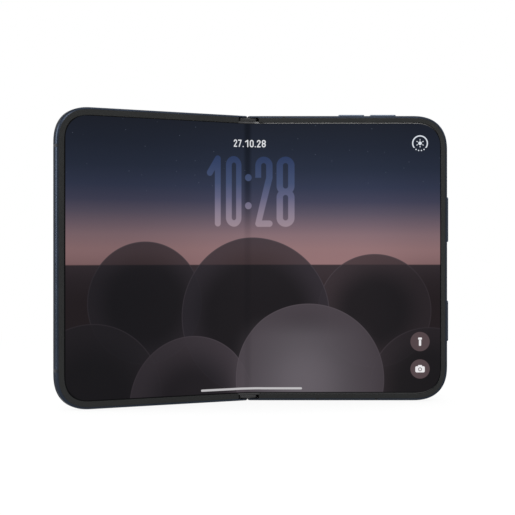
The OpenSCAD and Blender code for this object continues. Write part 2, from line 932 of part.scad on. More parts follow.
module ultrawide_camera() {
    color(battery_colour) main_half() camera_body(0, 11.5, lens_r - 0.8);
}

module flash_place() {
    translate([plateau_x + plateau_l / 2 - 5, 0, body_h - plateau_z]) rotate([-90, 0, 0]) children();
}

module camera_plateau() {
    color(frame_colour) main_half() difference() {
        translate([plateau_x, 0, body_h - plateau_z]) plate(body_t, body_t + plateau_h)
            pill(plateau_l, plateau_w);
        for (i = [0, 1]) camera_window(i) cylinder(r = lens_r + 0.1, h = 3 * body_t);
        flash_place() cylinder(r = 1.6, h = 3 * body_t);
    }
}

module lens_rings() {
    color(metal_colour) main_half() for (i = [0, 1]) camera_window(i)
        translate([0, 0, body_t + plateau_h]) difference() {
            cylinder(r = ring_r, h = ring_h);
            translate([0, 0, -1]) cylinder(r = ring_r - 1.4, h = ring_h + 2);
        }
}

module lens_covers() {
    color(glass_colour) main_half() for (i = [0, 1]) camera_window(i)
        translate([0, 0, body_t + plateau_h + ring_h - 0.6]) cylinder(r = ring_r - 1.45, h = 0.5);
}

module flash_window() {
    color([0.9, 0.9, 0.85]) main_half() flash_place()
        translate([0, 0, glass_front - part_gap]) cylinder(r = 1.5, h = glass_t + plateau_h);
}

module port_shell() {
    color(metal_colour) main_half() translate([port_x, port_y, 0.05]) difference() {
        linear_extrude(port_d + port_wall) pill(port_w + 2 * port_wall, port_h + 2 * port_wall);
        translate([0, 0, -1]) linear_extrude(port_d + 1) pill(port_w, port_h);
    }
}

module port_tongue() {
    color(battery_colour) main_half()
        block([port_x - 3.3, port_y - 0.35, 1], [port_x + 3.3, port_y + 0.35, port_d + 0.05]);
}

module main_speaker() {
    x = port_x + speaker_offset;
    color(battery_colour) main_half() block([x, web_back + part_gap, wall_t + part_gap],
        [x + speaker_w, glass_front - part_gap, main_battery_z - battery_gap]);
}

module vibration_motor() {
    color(metal_colour) main_half() block([main_battery_x, web_back + part_gap, wall_t + 1],
        [main_battery_x + motor_w, glass_front - 2 * part_gap, main_battery_z - battery_gap]);
}

module magnets() {
    for (z = [magnet_z, body_h - magnet_z - magnet_h])
        block([half_w - wall_t - part_gap - 1, web_back + part_gap, z],
            [half_w - wall_t - part_gap, glass_front - outer_screen_t - part_gap, z + magnet_h]);
}

module main_magnets() {
    color(metal_colour) main_half() magnets();
}

module cover_magnets() {
    color(metal_colour) cover_half() magnets();
}

// ---- Cover half, inner parts ----

cover_battery_x = rail_x + battery_inset;
cover_battery_z = (body_h - cover_battery_h) / 2;
sub_board_x = cover_battery_x + cover_battery_w + battery_gap;

module cover_battery() {
    color(battery_colour) cover_half() cell(cover_battery_x, cover_battery_z, cover_battery_w,
        cover_battery_h, cover_battery_t);
}

module sub_board() {
    color(board_colour) cover_half() block([sub_board_x, web_back + part_gap, cover_battery_z],
        [half_w - inner_u, board_back, cover_battery_z + cover_battery_h]);
}

module selfie_camera() {
    color(battery_colour) cover_half()
        translate([half_w / 2, web_back + part_gap, body_h - selfie_z]) rotate([-90, 0, 0]) {
            translate([-selfie_size / 2, -selfie_size / 2, 0])
                cube([selfie_size, selfie_size, selfie_body_h]);
            translate([0, 0, selfie_body_h - eps]) cylinder(r = selfie_lens_r, h = selfie_lens_h);
        }
}

module cover_speaker() {
    color(battery_colour) cover_half()
        block([(half_w - cover_speaker_w) / 2, web_back + part_gap, wall_t + part_gap],
            [(half_w + cover_speaker_w) / 2, glass_front - outer_screen_t - part_gap,
                cover_battery_z - battery_gap]);
}

main_frame();
main_bezel();
main_back_glass();
main_backing_plate();
main_screen_panel();
main_antenna_bands();
main_battery();
logic_board();
board_shields();
board_screws();
wide_camera();
ultrawide_camera();
camera_plateau();
lens_rings();
lens_covers();
flash_window();
port_shell();
port_tongue();
main_speaker();
vibration_motor();
button_switches();
main_magnets();
main_hinge_arms();
main_arm_screws();
volume_up_button();
volume_down_button();
power_button();
camera_button();
main_wing_plate();
spine_cover();
spine_base();
spine_end_caps();
hinge_shafts();
idler_shafts();
disc_springs();
friction_washers();
fold_strip();
hinge_flex_cable();
main_idler_gears();
cover_idler_gears();
cover_frame();
cover_bezel();
cover_glass();
cover_screen_panel();
cover_backing_plate();
cover_inner_panel();
cover_antenna_bands();
cover_battery();
sub_board();
selfie_camera();
cover_speaker();
cover_magnets();
cover_hinge_arms();
cover_arm_screws();
cover_wing_plate();
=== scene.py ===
"""Looks of a book-style folding phone, part folded and standing on its bottom edge.

Every half is drawn flat in millimetres, as the part is: x outward from the hinge line, y as the
depth behind the front plane, z up. MAIN, SPINE and COVER then place a piece at rest.
"""
import contextlib
import functools
import json
import math

import bmesh
import bpy
from mathutils import Matrix, Vector


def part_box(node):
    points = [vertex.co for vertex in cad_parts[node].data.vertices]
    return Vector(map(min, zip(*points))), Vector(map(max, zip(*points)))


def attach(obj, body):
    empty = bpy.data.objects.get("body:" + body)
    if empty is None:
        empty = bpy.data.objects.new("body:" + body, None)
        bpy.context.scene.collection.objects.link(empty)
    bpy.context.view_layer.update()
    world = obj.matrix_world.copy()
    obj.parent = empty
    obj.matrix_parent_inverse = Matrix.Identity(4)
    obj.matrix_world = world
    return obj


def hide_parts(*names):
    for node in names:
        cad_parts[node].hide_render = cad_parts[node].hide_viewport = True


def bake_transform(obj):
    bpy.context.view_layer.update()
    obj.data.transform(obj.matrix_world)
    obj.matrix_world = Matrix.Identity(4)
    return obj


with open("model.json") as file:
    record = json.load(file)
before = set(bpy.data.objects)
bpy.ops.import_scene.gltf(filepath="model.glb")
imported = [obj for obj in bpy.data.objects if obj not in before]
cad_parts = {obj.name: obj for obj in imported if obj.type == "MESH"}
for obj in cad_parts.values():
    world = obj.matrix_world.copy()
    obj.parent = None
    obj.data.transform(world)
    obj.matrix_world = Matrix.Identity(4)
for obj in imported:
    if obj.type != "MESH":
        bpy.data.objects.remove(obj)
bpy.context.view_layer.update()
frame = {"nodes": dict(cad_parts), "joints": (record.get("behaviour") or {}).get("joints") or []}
MM = 0.001

# ---- Camera ----

CAMERA_PLACE = (0.00002, -0.52446, 0.06052)
CAMERA_LENS = 89.09


def in_scene(name, data):
    """New object in the scene with a mesh, a lamp or a camera."""
    thing = bpy.data.objects.new(name, data)
    bpy.context.scene.collection.objects.link(thing)
    return thing


def make_camera():
    data = bpy.data.cameras.new("camera")
    data.sensor_width = 36
    data.lens = CAMERA_LENS
    data.clip_start = 0.01
    camera = in_scene("camera", data)
    camera.location = CAMERA_PLACE
    camera.rotation_euler = (math.radians(90), 0, 0)
    bpy.context.scene.camera = camera


make_camera()


# ---- Sizes in mm, taken from the frame where it has them ----


def node_box(name):
    low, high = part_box(name)
    return low / MM, high / MM


def joint_place(name):
    found = next(j for j in frame["joints"] if j["name"] == name)
    return Vector((found["pos_m"][0], found["pos_m"][1], 0)) / MM


BEZEL_FRONT = 0.02
MAIN_PIVOT = joint_place("spine_fold")
COVER_PIVOT = joint_place("cover_fold")
PIVOT_X = (MAIN_PIVOT - COVER_PIVOT).length / 2
HALF_FOLD = math.atan2(MAIN_PIVOT.y - COVER_PIVOT.y, MAIN_PIVOT.x - COVER_PIVOT.x)
FRONT_Y = node_box("main_bezel")[0].y - BEZEL_FRONT
PIVOT_DEPTH = MAIN_PIVOT.y - FRONT_Y
HINGE_X = MAIN_PIVOT.x - PIVOT_X
BODY_H = node_box("main_frame")[1].z
BODY_T = node_box("main_frame")[1].y - FRONT_Y
HALF_W = node_box("main_frame")[1].x - HINGE_X

# Outline of a half, and the section of its frame
CORNER_SIZE = 15.0
CORNER_POWER = 2.48
EDGE_R = 1.4
RIM_W = 0.9
WALL_T = 2.2
WALL_STEP = 1.4
WEB_EDGE = 1.05
WEB_FRONT = 1.2
WEB_BACK = 1.6
GLASS_FRONT = 4.6
GLASS_FIT = 0.05
GLASS_EASE = 0.12

# Screen with its bezel
SCREEN_RECESS = 0.35
SCREEN_BACK = 0.95
SCREEN_INSET = 2.5
SCREEN_FIT = 0.03
FILM_SLOPE_W = 0.78
FILM_SLOPE = 0.16
MAIN_BEZEL_W = 2.75
COVER_BEZEL_W = 3.2
BEZEL_FIT = 0.02
BEZEL_OUTER_ROUND = 0.18
BEZEL_INNER_ROUND = 0.12
SCREEN_TURN = 0.2

# Fold, spine and the ends of the frame at the hinge
FOLD_HALF = 8.0
FOLD_STEP = 0.36
LIP_FRONT = 4.6
LIP_EASE = 0.25
SPINE_GAP = 0.1
SPINE_BACK = 4.5
SPINE_R = SPINE_BACK - PIVOT_DEPTH
SPINE_WALL = 0.5
SPINE_Z = 0.9
SHELL_FIT = 0.02
SHELL_RIM = 1.2
CAP_BAR = (1.66, 0.72)
CAP_SUNK = 0.45
FRAME_X = 5.0
GLASS_X = 9.0
RAIL_X = 10.2
EAR_T = 0.8
EAR_ROUND = 0.78
EAR_TIP_R = 2.45
EAR_FILLET = 0.3
EAR_LAP = 1.0

# Antenna bands, holes and keys
BAND_W = 1.2
BAND_Z = 15.8
BAND_FIT = 0.01
BANDS_TOP = (15.6,)
BANDS_BOTTOM = (29.7, 54.7)
HOLE_R = 0.5
HOLE_PITCH = 2.2
HOLE_FLARE = 0.08
SPEAKER_HOLES = 6
SPEAKER_FROM_PORT = 16
MICROPHONE_FROM_PORT = -9
COVER_SPEAKER_X = HALF_W / 2 - 5.5
BUTTON_W = 1.8
BUTTON_FIT = 0.06
BUTTON_DEPTH = (WEB_BACK + GLASS_FRONT) / 2
KEY_EASE = 0.3
FLANGE_W = 0.35
FLANGE_T = 0.5
FLANGE_GAP = 0.15
# Of each key: its node, body, length and height above the frame
KEYS = {
    "volume_up_key": ("volume_up_button", "volume_up", 11.0, 0.62),
    "volume_down_key": ("volume_down_button", "volume_down", 11.0, 0.62),
    "power_key": ("power_button", "power", 19.0, 0.66),
    "camera_key": ("camera_button", "camera_control", 17.2, 0.62),
}

# Socket
PORT_X = 42.2
PORT_DEPTH = 2.87
PORT_L = 6.2
PORT_WALL = 0.3
PORT_FIT = 0.05
PORT_FLARE = 0.15
PORT_SLOT = 8.0
PORT_SHELL_L = 8.94
PORT_SHELL_W = 3.16
TONGUE_START = 1.0
TONGUE_EASE = 0.12
TONGUE = (3.3, 0.35)
CONTACTS = 12
CONTACT_PITCH = 0.5
CONTACT_W = 0.3
CONTACT_T = 0.04
CONTACT_ENDS = (1.5, PORT_L - 0.6)

# Cameras
PLATEAU_X = 48.0
PLATEAU_Z = BODY_H - 18.5
PLATEAU_H = 1.9
PLATEAU_SIZE = (58, 25)
PLATEAU_EASE = 0.7
LENS_PLACES = [(PLATEAU_X + side, PLATEAU_Z) for side in (-12.0, 12.0)]
LENS_OPENINGS = {"wide": 3.1, "ultrawide": 2.4}
LENS_BORE_R = 5.3
RING_R = 8.0
RING_H = 1.6
RING_W = 1.4
RING_OUTER_ROUND = 0.35
RING_INNER_ROUND = 0.2
WINDOW_FIT = 0.05
WINDOW_SUNK = 0.1
WELL_W = 1.5
WELL_FIT = 0.02
LENS_FIT = 0.06
LENS_RISE = 0.4
FLASH_X = 72.0
FLASH_R = 1.5
FLASH_FIT = 0.1
SELFIE_PLACE = (HALF_W / 2, BODY_H - 9)
SELFIE_R = 1.9

# Corners of the pocket of a hinge arm and of its seat, and of the slot of the flat cable
ARM_POCKET = ((2.5, -1, 16.8), (15.1, 4.0, 21.35))
ARM_SEAT = ((9.0, 1.2, 15.9), (16.2, 4.6, 22.25))
FLEX_SLOT = ((2.5, 3.0, 52.75), (11.2, 4.1, 67.75))
# Flat cable: its ends in z, its thickness, its places (x, depth) on the spine and on a half, the
# stretch of x in which it steps from one depth to the other, and its reach
FLEX_ENDS = (53.25, 67.25)
FLEX_T = 0.12
FLEX_SPINE = (1.1, 3.78)
FLEX_HALF = (4.4, 3.3)
FLEX_STEP = (1.5, 3.6)
FLEX_REACH = 13.2

SHARP_TURN = math.radians(32)
FOLD_STATIONS = 32
FLEX_STATIONS = 44
BEND_ROUNDS = 40


def turn_about(point, angle):
    return Matrix.Translation(point) @ Matrix.Rotation(angle, 4, "Z") @ Matrix.Translation(-point)


MAIN = Matrix.Translation((HINGE_X, FRONT_Y, 0))
SPINE = turn_about(MAIN_PIVOT, HALF_FOLD) @ MAIN
COVER = (
    Matrix.Translation(COVER_PIVOT) @ Matrix.Rotation(2 * HALF_FOLD, 4, "Z")
    @ Matrix.Translation((PIVOT_X, -PIVOT_DEPTH, 0)) @ Matrix.Diagonal((-1, 1, 1, 1))
)
PLACES = {"main_half": MAIN, "spine": SPINE, "cover_half": COVER}
FOLDS = {"main_half": (MAIN_PIVOT, HALF_FOLD), "cover_half": (COVER_PIVOT, -HALF_FOLD)}


# ---- Shapes: each is a list of points and a list of faces, in mm ----


def arc(centre, radius, start, end, steps=10):
    """Points on an arc, with angles in degrees."""
    angles = [math.radians(start + (end - start) * i / steps) for i in range(steps + 1)]
    return [(centre[0] + radius * math.cos(a), centre[1] + radius * math.sin(a)) for a in angles]


def ring_solid(rings, closed=False):
    """Skin over rings of points. The last ring joins the first if closed, or both ends are flat."""
    n, count = len(rings[0]), len(rings)
    faces = [
        (k * n + i, k * n + (i + 1) % n, (k + 1) % count * n + (i + 1) % n, (k + 1) % count * n + i)
        for k in range(count if closed else count - 1) for i in range(n)
    ]
    if not closed:
        faces += [tuple(reversed(range(n))), tuple(range((count - 1) * n, count * n))]
    return [p for ring in rings for p in ring], faces


def lifted(outline, z):
    return [(x, y, z) for x, y in outline]


def box_solid(low, high):
    corners = [(low[0], low[1]), (high[0], low[1]), (high[0], high[1]), (low[0], high[1])]
    return ring_solid([lifted(corners, z) for z in (low[2], high[2])])


def along_z(section, z0, z1, ease=0.0):
    """Prism of a section in x and y. Its end edges are eased towards the section's middle."""
    middle = Vector((sum(p[0] for p in section), sum(p[1] for p in section))) / len(section)

    def ring(z, inset):
        shrunk = []
        for p in section:
            away = Vector(p) - middle
            near = Vector(p) - away.normalized() * inset if inset else Vector(p)
            shrunk.append((near.x, near.y, z))
        return shrunk

    if not ease:
        return ring_solid([ring(z0, 0), ring(z1, 0)])
    return ring_solid([ring(z0, ease), ring(z0 + ease, 0), ring(z1 - ease, 0), ring(z1, ease)])


def slab(outline, profile):
    """Solid of an outline in x and z. The profile lists (inset, depth) from one face to the other."""
    return ring_solid([[(x, depth, z) for x, z in outline(inset)] for inset, depth in profile])


def eased_profile(radius, flat, eased, steps=5):
    """Profile of a slab that is square at the depth flat and rounded at the depth eased."""
    turn = [math.radians(90 * i / steps) for i in range(steps + 1)]
    toward = 1 if eased > flat else -1
    bend = [(radius * (1 - math.cos(a)), eased - toward * radius * (1 - math.sin(a))) for a in turn]
    return [(0, flat)] + bend


def corner_stations(steps=28):
    """Points round the upper outer corner, a superellipse, each with its direction inward."""
    stations = []
    for i in range(steps + 1):
        turn = math.radians(90 * i / steps)
        along, up = [max(0.0, part) ** (2 / CORNER_POWER) for part in (math.cos(turn), math.sin(turn))]
        out = Vector((along ** (CORNER_POWER - 1), up ** (CORNER_POWER - 1))).normalized()
        place = (HALF_W - CORNER_SIZE * (1 - along), BODY_H - CORNER_SIZE * (1 - up))
        stations.append((place, (-out.x, -out.y)))
    return stations


def outer_stations(x0):
    """Points along the three outer edges of a half from x0, each with its direction inward."""
    upper = corner_stations()
    lower = [((x, BODY_H - z), (u, -w)) for (x, z), (u, w) in reversed(upper)]
    return [((x0, 0), (0, 1))] + lower + upper + [((x0, BODY_H), (0, -1))]


def half_outline(x0, inset):
    """Outline of a half from x0 outward, inset from its outer edges."""
    return [(x + inset * u, z + inset * w) for (x, z), (u, w) in outer_stations(x0)]


def pill_outline(centre, length, width, inset=0.0, steps=12):
    r = width / 2 - inset
    half = (length - width) / 2
    right = arc((centre[0] + half, centre[1]), r, -90, 90, steps)
    left = arc((centre[0] - half, centre[1]), r, 90, 270, steps)
    return right + left


def disc_outline(centre, radius, steps=64):
    return arc(centre, radius, 0, 360 * (steps - 1) / steps, steps - 1)


def edge_sweep(section, x0):
    """Section of (distance from the outer edge, depth) swept round the three outer edges."""
    return ring_solid([
        [(x + inset * u, depth, z + inset * w) for inset, depth in section]
        for (x, z), (u, w) in outer_stations(x0)
    ])


def revolved(profile, centre, steps=72):
    """Profile of (radius, depth) turned about an axis along y."""
    rings = []
    for i in range(steps):
        a = 2 * math.pi * i / steps
        rings.append([(centre[0] + r * math.cos(a), d, centre[1] + r * math.sin(a))
                      for r, d in profile])
    return ring_solid(rings, closed=True)


def turned_disc(profile, centre, steps=64):
    """Solid disc whose edge is a profile of (radius, depth)."""
    return ring_solid([
        [(x, depth, z) for x, z in disc_outline(centre, radius, steps)] for radius, depth in profile
    ])


def bore(centre, radius):
    """Cutter along y through the whole thickness."""
    return turned_disc([(radius, 0), (radius, 2 * (BODY_T + PLATEAU_H))], centre)


def dome(radius, base, foot, height, turns):
    """Profile of a round lens: its wall from base, and its dome from foot up."""
    return [(radius, base)] + [
        (radius * math.cos(math.radians(a)), foot + height * math.sin(math.radians(a)))
        for a in turns]


def moved(shape, matrix):
    points, faces = shape
    return [tuple(matrix @ Vector(p)) for p in points], faces


def mirrored_end(shape):
    """The same shape at the other end of the body."""
    points, faces = shape
    return [(x, y, BODY_H - z) for x, y, z in points], faces


def both_ends(shape):
    return [shape, mirrored_end(shape)]


def joined(*shapes):
    points, faces = [], []
    for some, skin in shapes:
        start = len(points)
        points += some
        faces += [tuple(start + i for i in face) for face in skin]
    return points, faces


# ---- Pieces ----


@contextlib.contextmanager
def edited(mesh):
    """Mesh opened for changes, which are written back at the end."""
    work = bmesh.new()
    work.from_mesh(mesh)
    yield work
    work.to_mesh(mesh)
    work.free()


def loose_object(name, shape):
    points, faces = shape
    mesh = bpy.data.meshes.new(name)
    mesh.from_pydata([tuple(p) for p in points], [], faces)
    with edited(mesh) as work:
        bmesh.ops.recalc_face_normals(work, faces=work.faces)
    return in_scene(name, mesh)


def settle(piece):
    """Applies every modifier of a piece to its mesh."""
    graph = bpy.context.evaluated_depsgraph_get()
    mesh = bpy.data.meshes.new_from_object(piece.evaluated_get(graph))
    piece.modifiers.clear()
    piece.data = mesh


def carve(piece, operation, shapes):
    """Unites the shapes with a piece, or takes them away from it."""
    for shape in shapes:
        tool = loose_object("tool", shape)
        step = piece.modifiers.new("carve", "BOOLEAN")
        step.operation = operation
        step.solver = "MANIFOLD"
        step.object = tool
        settle(piece)
        bpy.data.objects.remove(tool)


def smooth_faces(work, limit):
    """Smooth faces, with sharp edges where the skin turns by more than the limit."""
    for edge in work.edges:
        edge.smooth = len(edge.link_faces) == 2 and edge.calc_face_angle(0) < limit
    for face in work.faces:
        face.smooth = True


def keep_flat_places(mesh, places):
    """Keeps the place of each point on the flat half, in mm, as the point attribute flat."""
    flat = mesh.attributes.new("flat", "FLOAT_VECTOR", "POINT")
    for item, place in zip(flat.data, places):
        item.vector = place


def finish_piece(piece, body, material, nodes=(), ride=None):
    """Places a finished piece, gives it its material and lets it ride on its body."""
    keep_flat_places(piece.data, [vertex.co.copy() for vertex in piece.data.vertices])
    piece.data.transform(Matrix.Scale(MM, 4) @ PLACES[body])
    with edited(piece.data) as work:
        bmesh.ops.remove_doubles(work, verts=work.verts, dist=0.001 * MM)
        bmesh.ops.recalc_face_normals(work, faces=work.faces)
        smooth_faces(work, SHARP_TURN)
    weigh = piece.modifiers.new("weigh", "WEIGHTED_NORMAL")
    weigh.keep_sharp = True
    settle(piece)
    piece.data.materials.clear()
    piece.data.materials.append(MATERIALS[material])
    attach(piece, ride or body)
    if nodes:
        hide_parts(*nodes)


def add_piece(name, shape, body, material, nodes=(), cuts=()):
    piece = loose_object(name, shape)
    carve(piece, "DIFFERENCE", cuts)
    finish_piece(piece, body, material, nodes)


# ---- Numbers and nodes in a shader ----


def fill(tree, node, values):
    """Sets inputs of a node to numbers and colours, or links them to sockets and Values."""
    for name, value in values.items():
        value = getattr(value, "socket", value)
        if isinstance(value, bpy.types.NodeSocket):
            tree.links.new(value, node.inputs[name])
        else:
            node.inputs[name].default_value = value


def add_node(tree, kind, values, **traits):
    node = tree.nodes.new("ShaderNode" + kind)
    for name, trait in traits.items():
        setattr(node, name, trait)
    fill(tree, node, values)
    return node


class Value:
    """A number in a shader tree. Arithmetic on it adds Math nodes."""

    def __init__(self, tree, socket):
        self.tree = tree
        self.socket = socket

    def through(self, operation, *others):
        node = add_node(self.tree, "Math", dict(enumerate((self, *others))), operation=operation)
        return Value(self.tree, node.outputs[0])

    __add__ = functools.partialmethod(through, "ADD")
    __sub__ = functools.partialmethod(through, "SUBTRACT")
    __rsub__ = functools.partialmethod(through, "MULTIPLY_ADD", -1.0)
    __mul__ = functools.partialmethod(through, "MULTIPLY")
    __truediv__ = functools.partialmethod(through, "DIVIDE")
    __abs__ = functools.partialmethod(through, "ABSOLUTE")
    least = functools.partialmethod(through, "MINIMUM")
    most = functools.partialmethod(through, "MAXIMUM")
    sine = functools.partialmethod(through, "SINE")
    root = functools.partialmethod(through, "SQRT")

    def rise(self, low, high, to_low=0.0, to_high=1.0):
        """Smooth step from to_low at low to to_high at high."""
        node = add_node(self.tree, "MapRange", {
            "Value": self, "From Min": low, "From Max": high, "To Min": to_low, "To Max": to_high,
        }, interpolation_type="SMOOTHSTEP")
        return Value(self.tree, node.outputs["Result"])


def linear(colour):
    """Colour from 0 to 255 as it shows, as the linear values that a shader takes."""
    shown = [c / 255 for c in colour]
    return (*[c / 12.92 if c <= 0.04045 else ((c + 0.055) / 1.055) ** 2.4 for c in shown], 1)


def mixed(tree, factor, first, second):
    """Colour between first and second. Each is a colour from 0 to 255 or a socket."""
    first, second = [linear(c) if isinstance(c, tuple) else c for c in (first, second)]
    node = add_node(tree, "Mix", {0: factor, 6: first, 7: second}, data_type="RGBA")
    return node.outputs[2]


def graded(tree, value, stops):
    """Colour ramp through stops of (value from 0 to 1, colour from 0 to 255)."""
    node = add_node(tree, "ValToRGB", {0: value})
    ramp = node.color_ramp
    while len(ramp.elements) < len(stops):
        ramp.elements.new(0.5)
    for element, (place, colour) in zip(ramp.elements, stops):
        element.position = place
        element.color = linear(colour)
    return node.outputs[0]


# Distances from flat shapes, in mm: below 0 inside
def from_disc(x, z, centre, radius):
    dx, dz = x - centre[0], z - centre[1]
    return (dx * dx + dz * dz).root() - radius


def from_bar(x, z, centre, width, height, radius):
    dx = abs(x - centre[0]) - (width / 2 - radius)
    dz = abs(z - centre[1]) - (height / 2 - radius)
    ox, oz = dx.most(0.0), dz.most(0.0)
    return (ox * ox + oz * oz).root() + dx.most(dz).least(0.0) - radius


def from_stroke(x, z, start, end, width):
    """Distance from a straight stroke with round ends."""
    run = (end[0] - start[0], end[1] - start[1])
    square = run[0] ** 2 + run[1] ** 2
    dx, dz = x - start[0], z - start[1]
    share = ((dx * run[0] + dz * run[1]) / square).most(0.0).least(1.0)
    ox, oz = dx - share * run[0], dz - share * run[1]
    return (ox * ox + oz * oz).root() - width / 2


def nearest(distances):
    return functools.reduce(Value.least, distances)


def ring_of(distance, width):
    return abs(distance) - width / 2


def inside(distance, soft=0.09):
    return distance.rise(-soft, soft, 1.0, 0.0)


# ---- Materials ----


def new_material(name):
    material = bpy.data.materials.new(name)
    material.use_nodes = True
    tree = material.node_tree
    return material, tree, tree.nodes["Principled BSDF"]


def object_place(tree):
    return tree.nodes.new("ShaderNodeTexCoord").outputs["Object"]


def parted(tree, vector):
    """The three numbers of a vector."""
    return [Value(tree, part) for part in add_node(tree, "SeparateXYZ", {0: vector}).outputs]


def flat_place(tree):
    """Signed x, depth and z of a point on the flat half, in mm."""
    return parted(tree, add_node(tree, "Attribute", {}, attribute_name="flat").outputs["Vector"])


def noise(tree, scale, detail=2.0, roughness=0.5, stretch=None):
    """Noise over the object, with its scale in features per millimetre."""
    place = object_place(tree)
    if stretch:
        place = add_node(tree, "Mapping", {"Vector": place, "Scale": stretch}).outputs[0]
    node = add_node(tree, "TexNoise", {
        "Vector": place, "Scale": scale / MM, "Detail": detail, "Roughness": roughness})
    return Value(tree, node.outputs[0])


def bump(tree, height, depth, strength):
    """Bump of a height from 0 to 1 that stands for a depth in mm."""
    values = {"Distance": depth * MM, "Strength": strength, "Height": height}
    return add_node(tree, "Bump", values).outputs[0]


def rough(stain, low, high):
    """Roughness between low and high that follows a stain."""
    return stain.rise(0.3, 0.7, low, high)


def grained(name, dark, light, roughness, grain, wear, depth, metallic, specular=0.5, edge=1.0,
            stretch=None, coat=0.0):
    """Material of two close colours, with a fine grain and broad wear marks. Grain and wear are in
    features per mm, depth is the grain's in mm, and edge is the share of light at grazing angles."""
    material, tree, shader = new_material(name)
    fine = noise(tree, grain, 3.0, 0.6, stretch)
    broad = noise(tree, wear, 4.0)
    blend = (fine * 0.45 + broad * 0.55).rise(0.3, 0.7)
    fill(tree, shader, {
        "Base Color": mixed(tree, blend, dark, light), "Roughness": rough(broad, *roughness),
        "Metallic": metallic, "Specular IOR Level": specular, "Specular Tint": (edge, edge, edge, 1),
        "Coat Weight": coat, "Coat Roughness": 0.12, "Normal": bump(tree, fine, depth, 0.4)})
    return material


# Picture of the inner screen, in mm from the fold and from the bottom edge
GROUND_Z = 57.5
GROUND = ((45, 41, 46), (25, 24, 27))
DISCS = [
    # centre, radius, colour at the rim, colour inside, depth of fade
    ((-47.0, 42.0), 25.0, (46, 42, 47), (27, 26, 29), 12.0),
    ((54.0, 38.0), 24.0, (56, 48, 52), (30, 28, 31), 14.0),
    ((2.0, 36.0), 33.0, (48, 44, 50), (26, 25, 28), 14.0),
    ((-70.0, 4.0), 30.0, (44, 40, 44), (27, 26, 28), 18.0),
    ((77.0, 6.0), 25.0, (50, 44, 48), (31, 29, 31), 14.0),
    ((-26.0, 0.0), 28.0, (68, 61, 67), (36, 33, 37), 18.0),
    ((26.0, 9.0), 32.0, (76, 69, 75), (52, 48, 53), 20.0),
]
DISC_COVER = 0.86
CREST_LINE = (104, 94, 102)
SKY = [
    (45.0, (150, 112, 112)), (64.0, (146, 114, 116)), (70.0, (133, 108, 114)),
    (74.0, (115, 97, 107)), (79.0, (90, 82, 97)), (84.0, (66, 66, 86)), (90.0, (50, 56, 77)),
    (98.0, (39, 46, 63)), (107.0, (33, 39, 53)), (118.0, (29, 33, 43)),
]
CLOCK_TOP, CLOCK_BOTTOM = 103.2, 73.5
CLOCK_INK = [
    (0.0, (156, 137, 147)), (0.2, (134, 123, 141)), (0.42, (96, 97, 126)),
    (0.62, (68, 80, 112)), (1.0, (44, 58, 92)),
]
DATE_Z = 108.7
# Width, height, stroke and gap of digits, and how high a sign's dots are in shares of their height
CLOCK_DIGIT = (7.6, CLOCK_TOP - CLOCK_BOTTOM, 2.7, 1.7)
DATE_DIGIT = (1.75, 3.1, 0.46, 0.5)
DOTS = {".": (-0.42,), ":": (-0.2, 0.2)}
# Marks, and the bar with its centre, width and height
ICON_X = 73.2
STATUS_Z = 108.87
STATUS_R = 3.1
TORCH_Z = 24.95
CAMERA_Z = 13.35
ICON_R = 4.08
HOME_BAR = ((0.5, 5.16), 45.5, 0.89)
DISPLAY_R = 12.5
DISPLAY_INSET = 3.47
DISPLAY_SHIFT = 0.37
DISPLAY_RAISE = 0.17
OUTER_DISPLAY_R = 9.5
OUTER_BORDER = 3.2
STAR = (112, 120, 140)
GROUND_SIDE_DARK = (20, 19, 21)
SHEEN = (118, 111, 118)
# Painted shade at the sides of the screen
PAINTED_SIDE_SHADE = (8, 10, 16)
# Painted shade in the crease of the fold
PAINTED_CREASE_SHADE = (4, 7, 12)
WHITE_INK = (226, 228, 232)
MARK_INK = (222, 228, 236)
ICON_INK = (236, 234, 236)
ICON_DISC = (84, 70, 73)
BAR_INK = (192, 190, 192)
BORDER_PAINTED_GLOW = (9, 9, 10)


def sky(tree, x, z):
    """Dusk sky with a few faint stars."""
    top, bottom = SKY[-1][0], SKY[0][0]
    height = (z - bottom) / (top - bottom)
    picture = graded(tree, height, [((at - bottom) / (top - bottom), c) for at, c in SKY])
    place = add_node(tree, "CombineXYZ", {0: x, 1: z})
    stars = add_node(tree, "TexVoronoi", {"Vector": place.outputs[0], "Scale": 0.13},
                     voronoi_dimensions="2D")
    split = add_node(tree, "SeparateColor", {0: stars.outputs["Color"]})
    spot = Value(tree, stars.outputs["Distance"]).rise(0.01, 0.03, 1.0, 0.0)
    glow = spot * Value(tree, split.outputs[0]).rise(0.2, 1.0, 0.0, 0.5) * z.rise(80, 95)
    return mixed(tree, glow, picture, STAR)


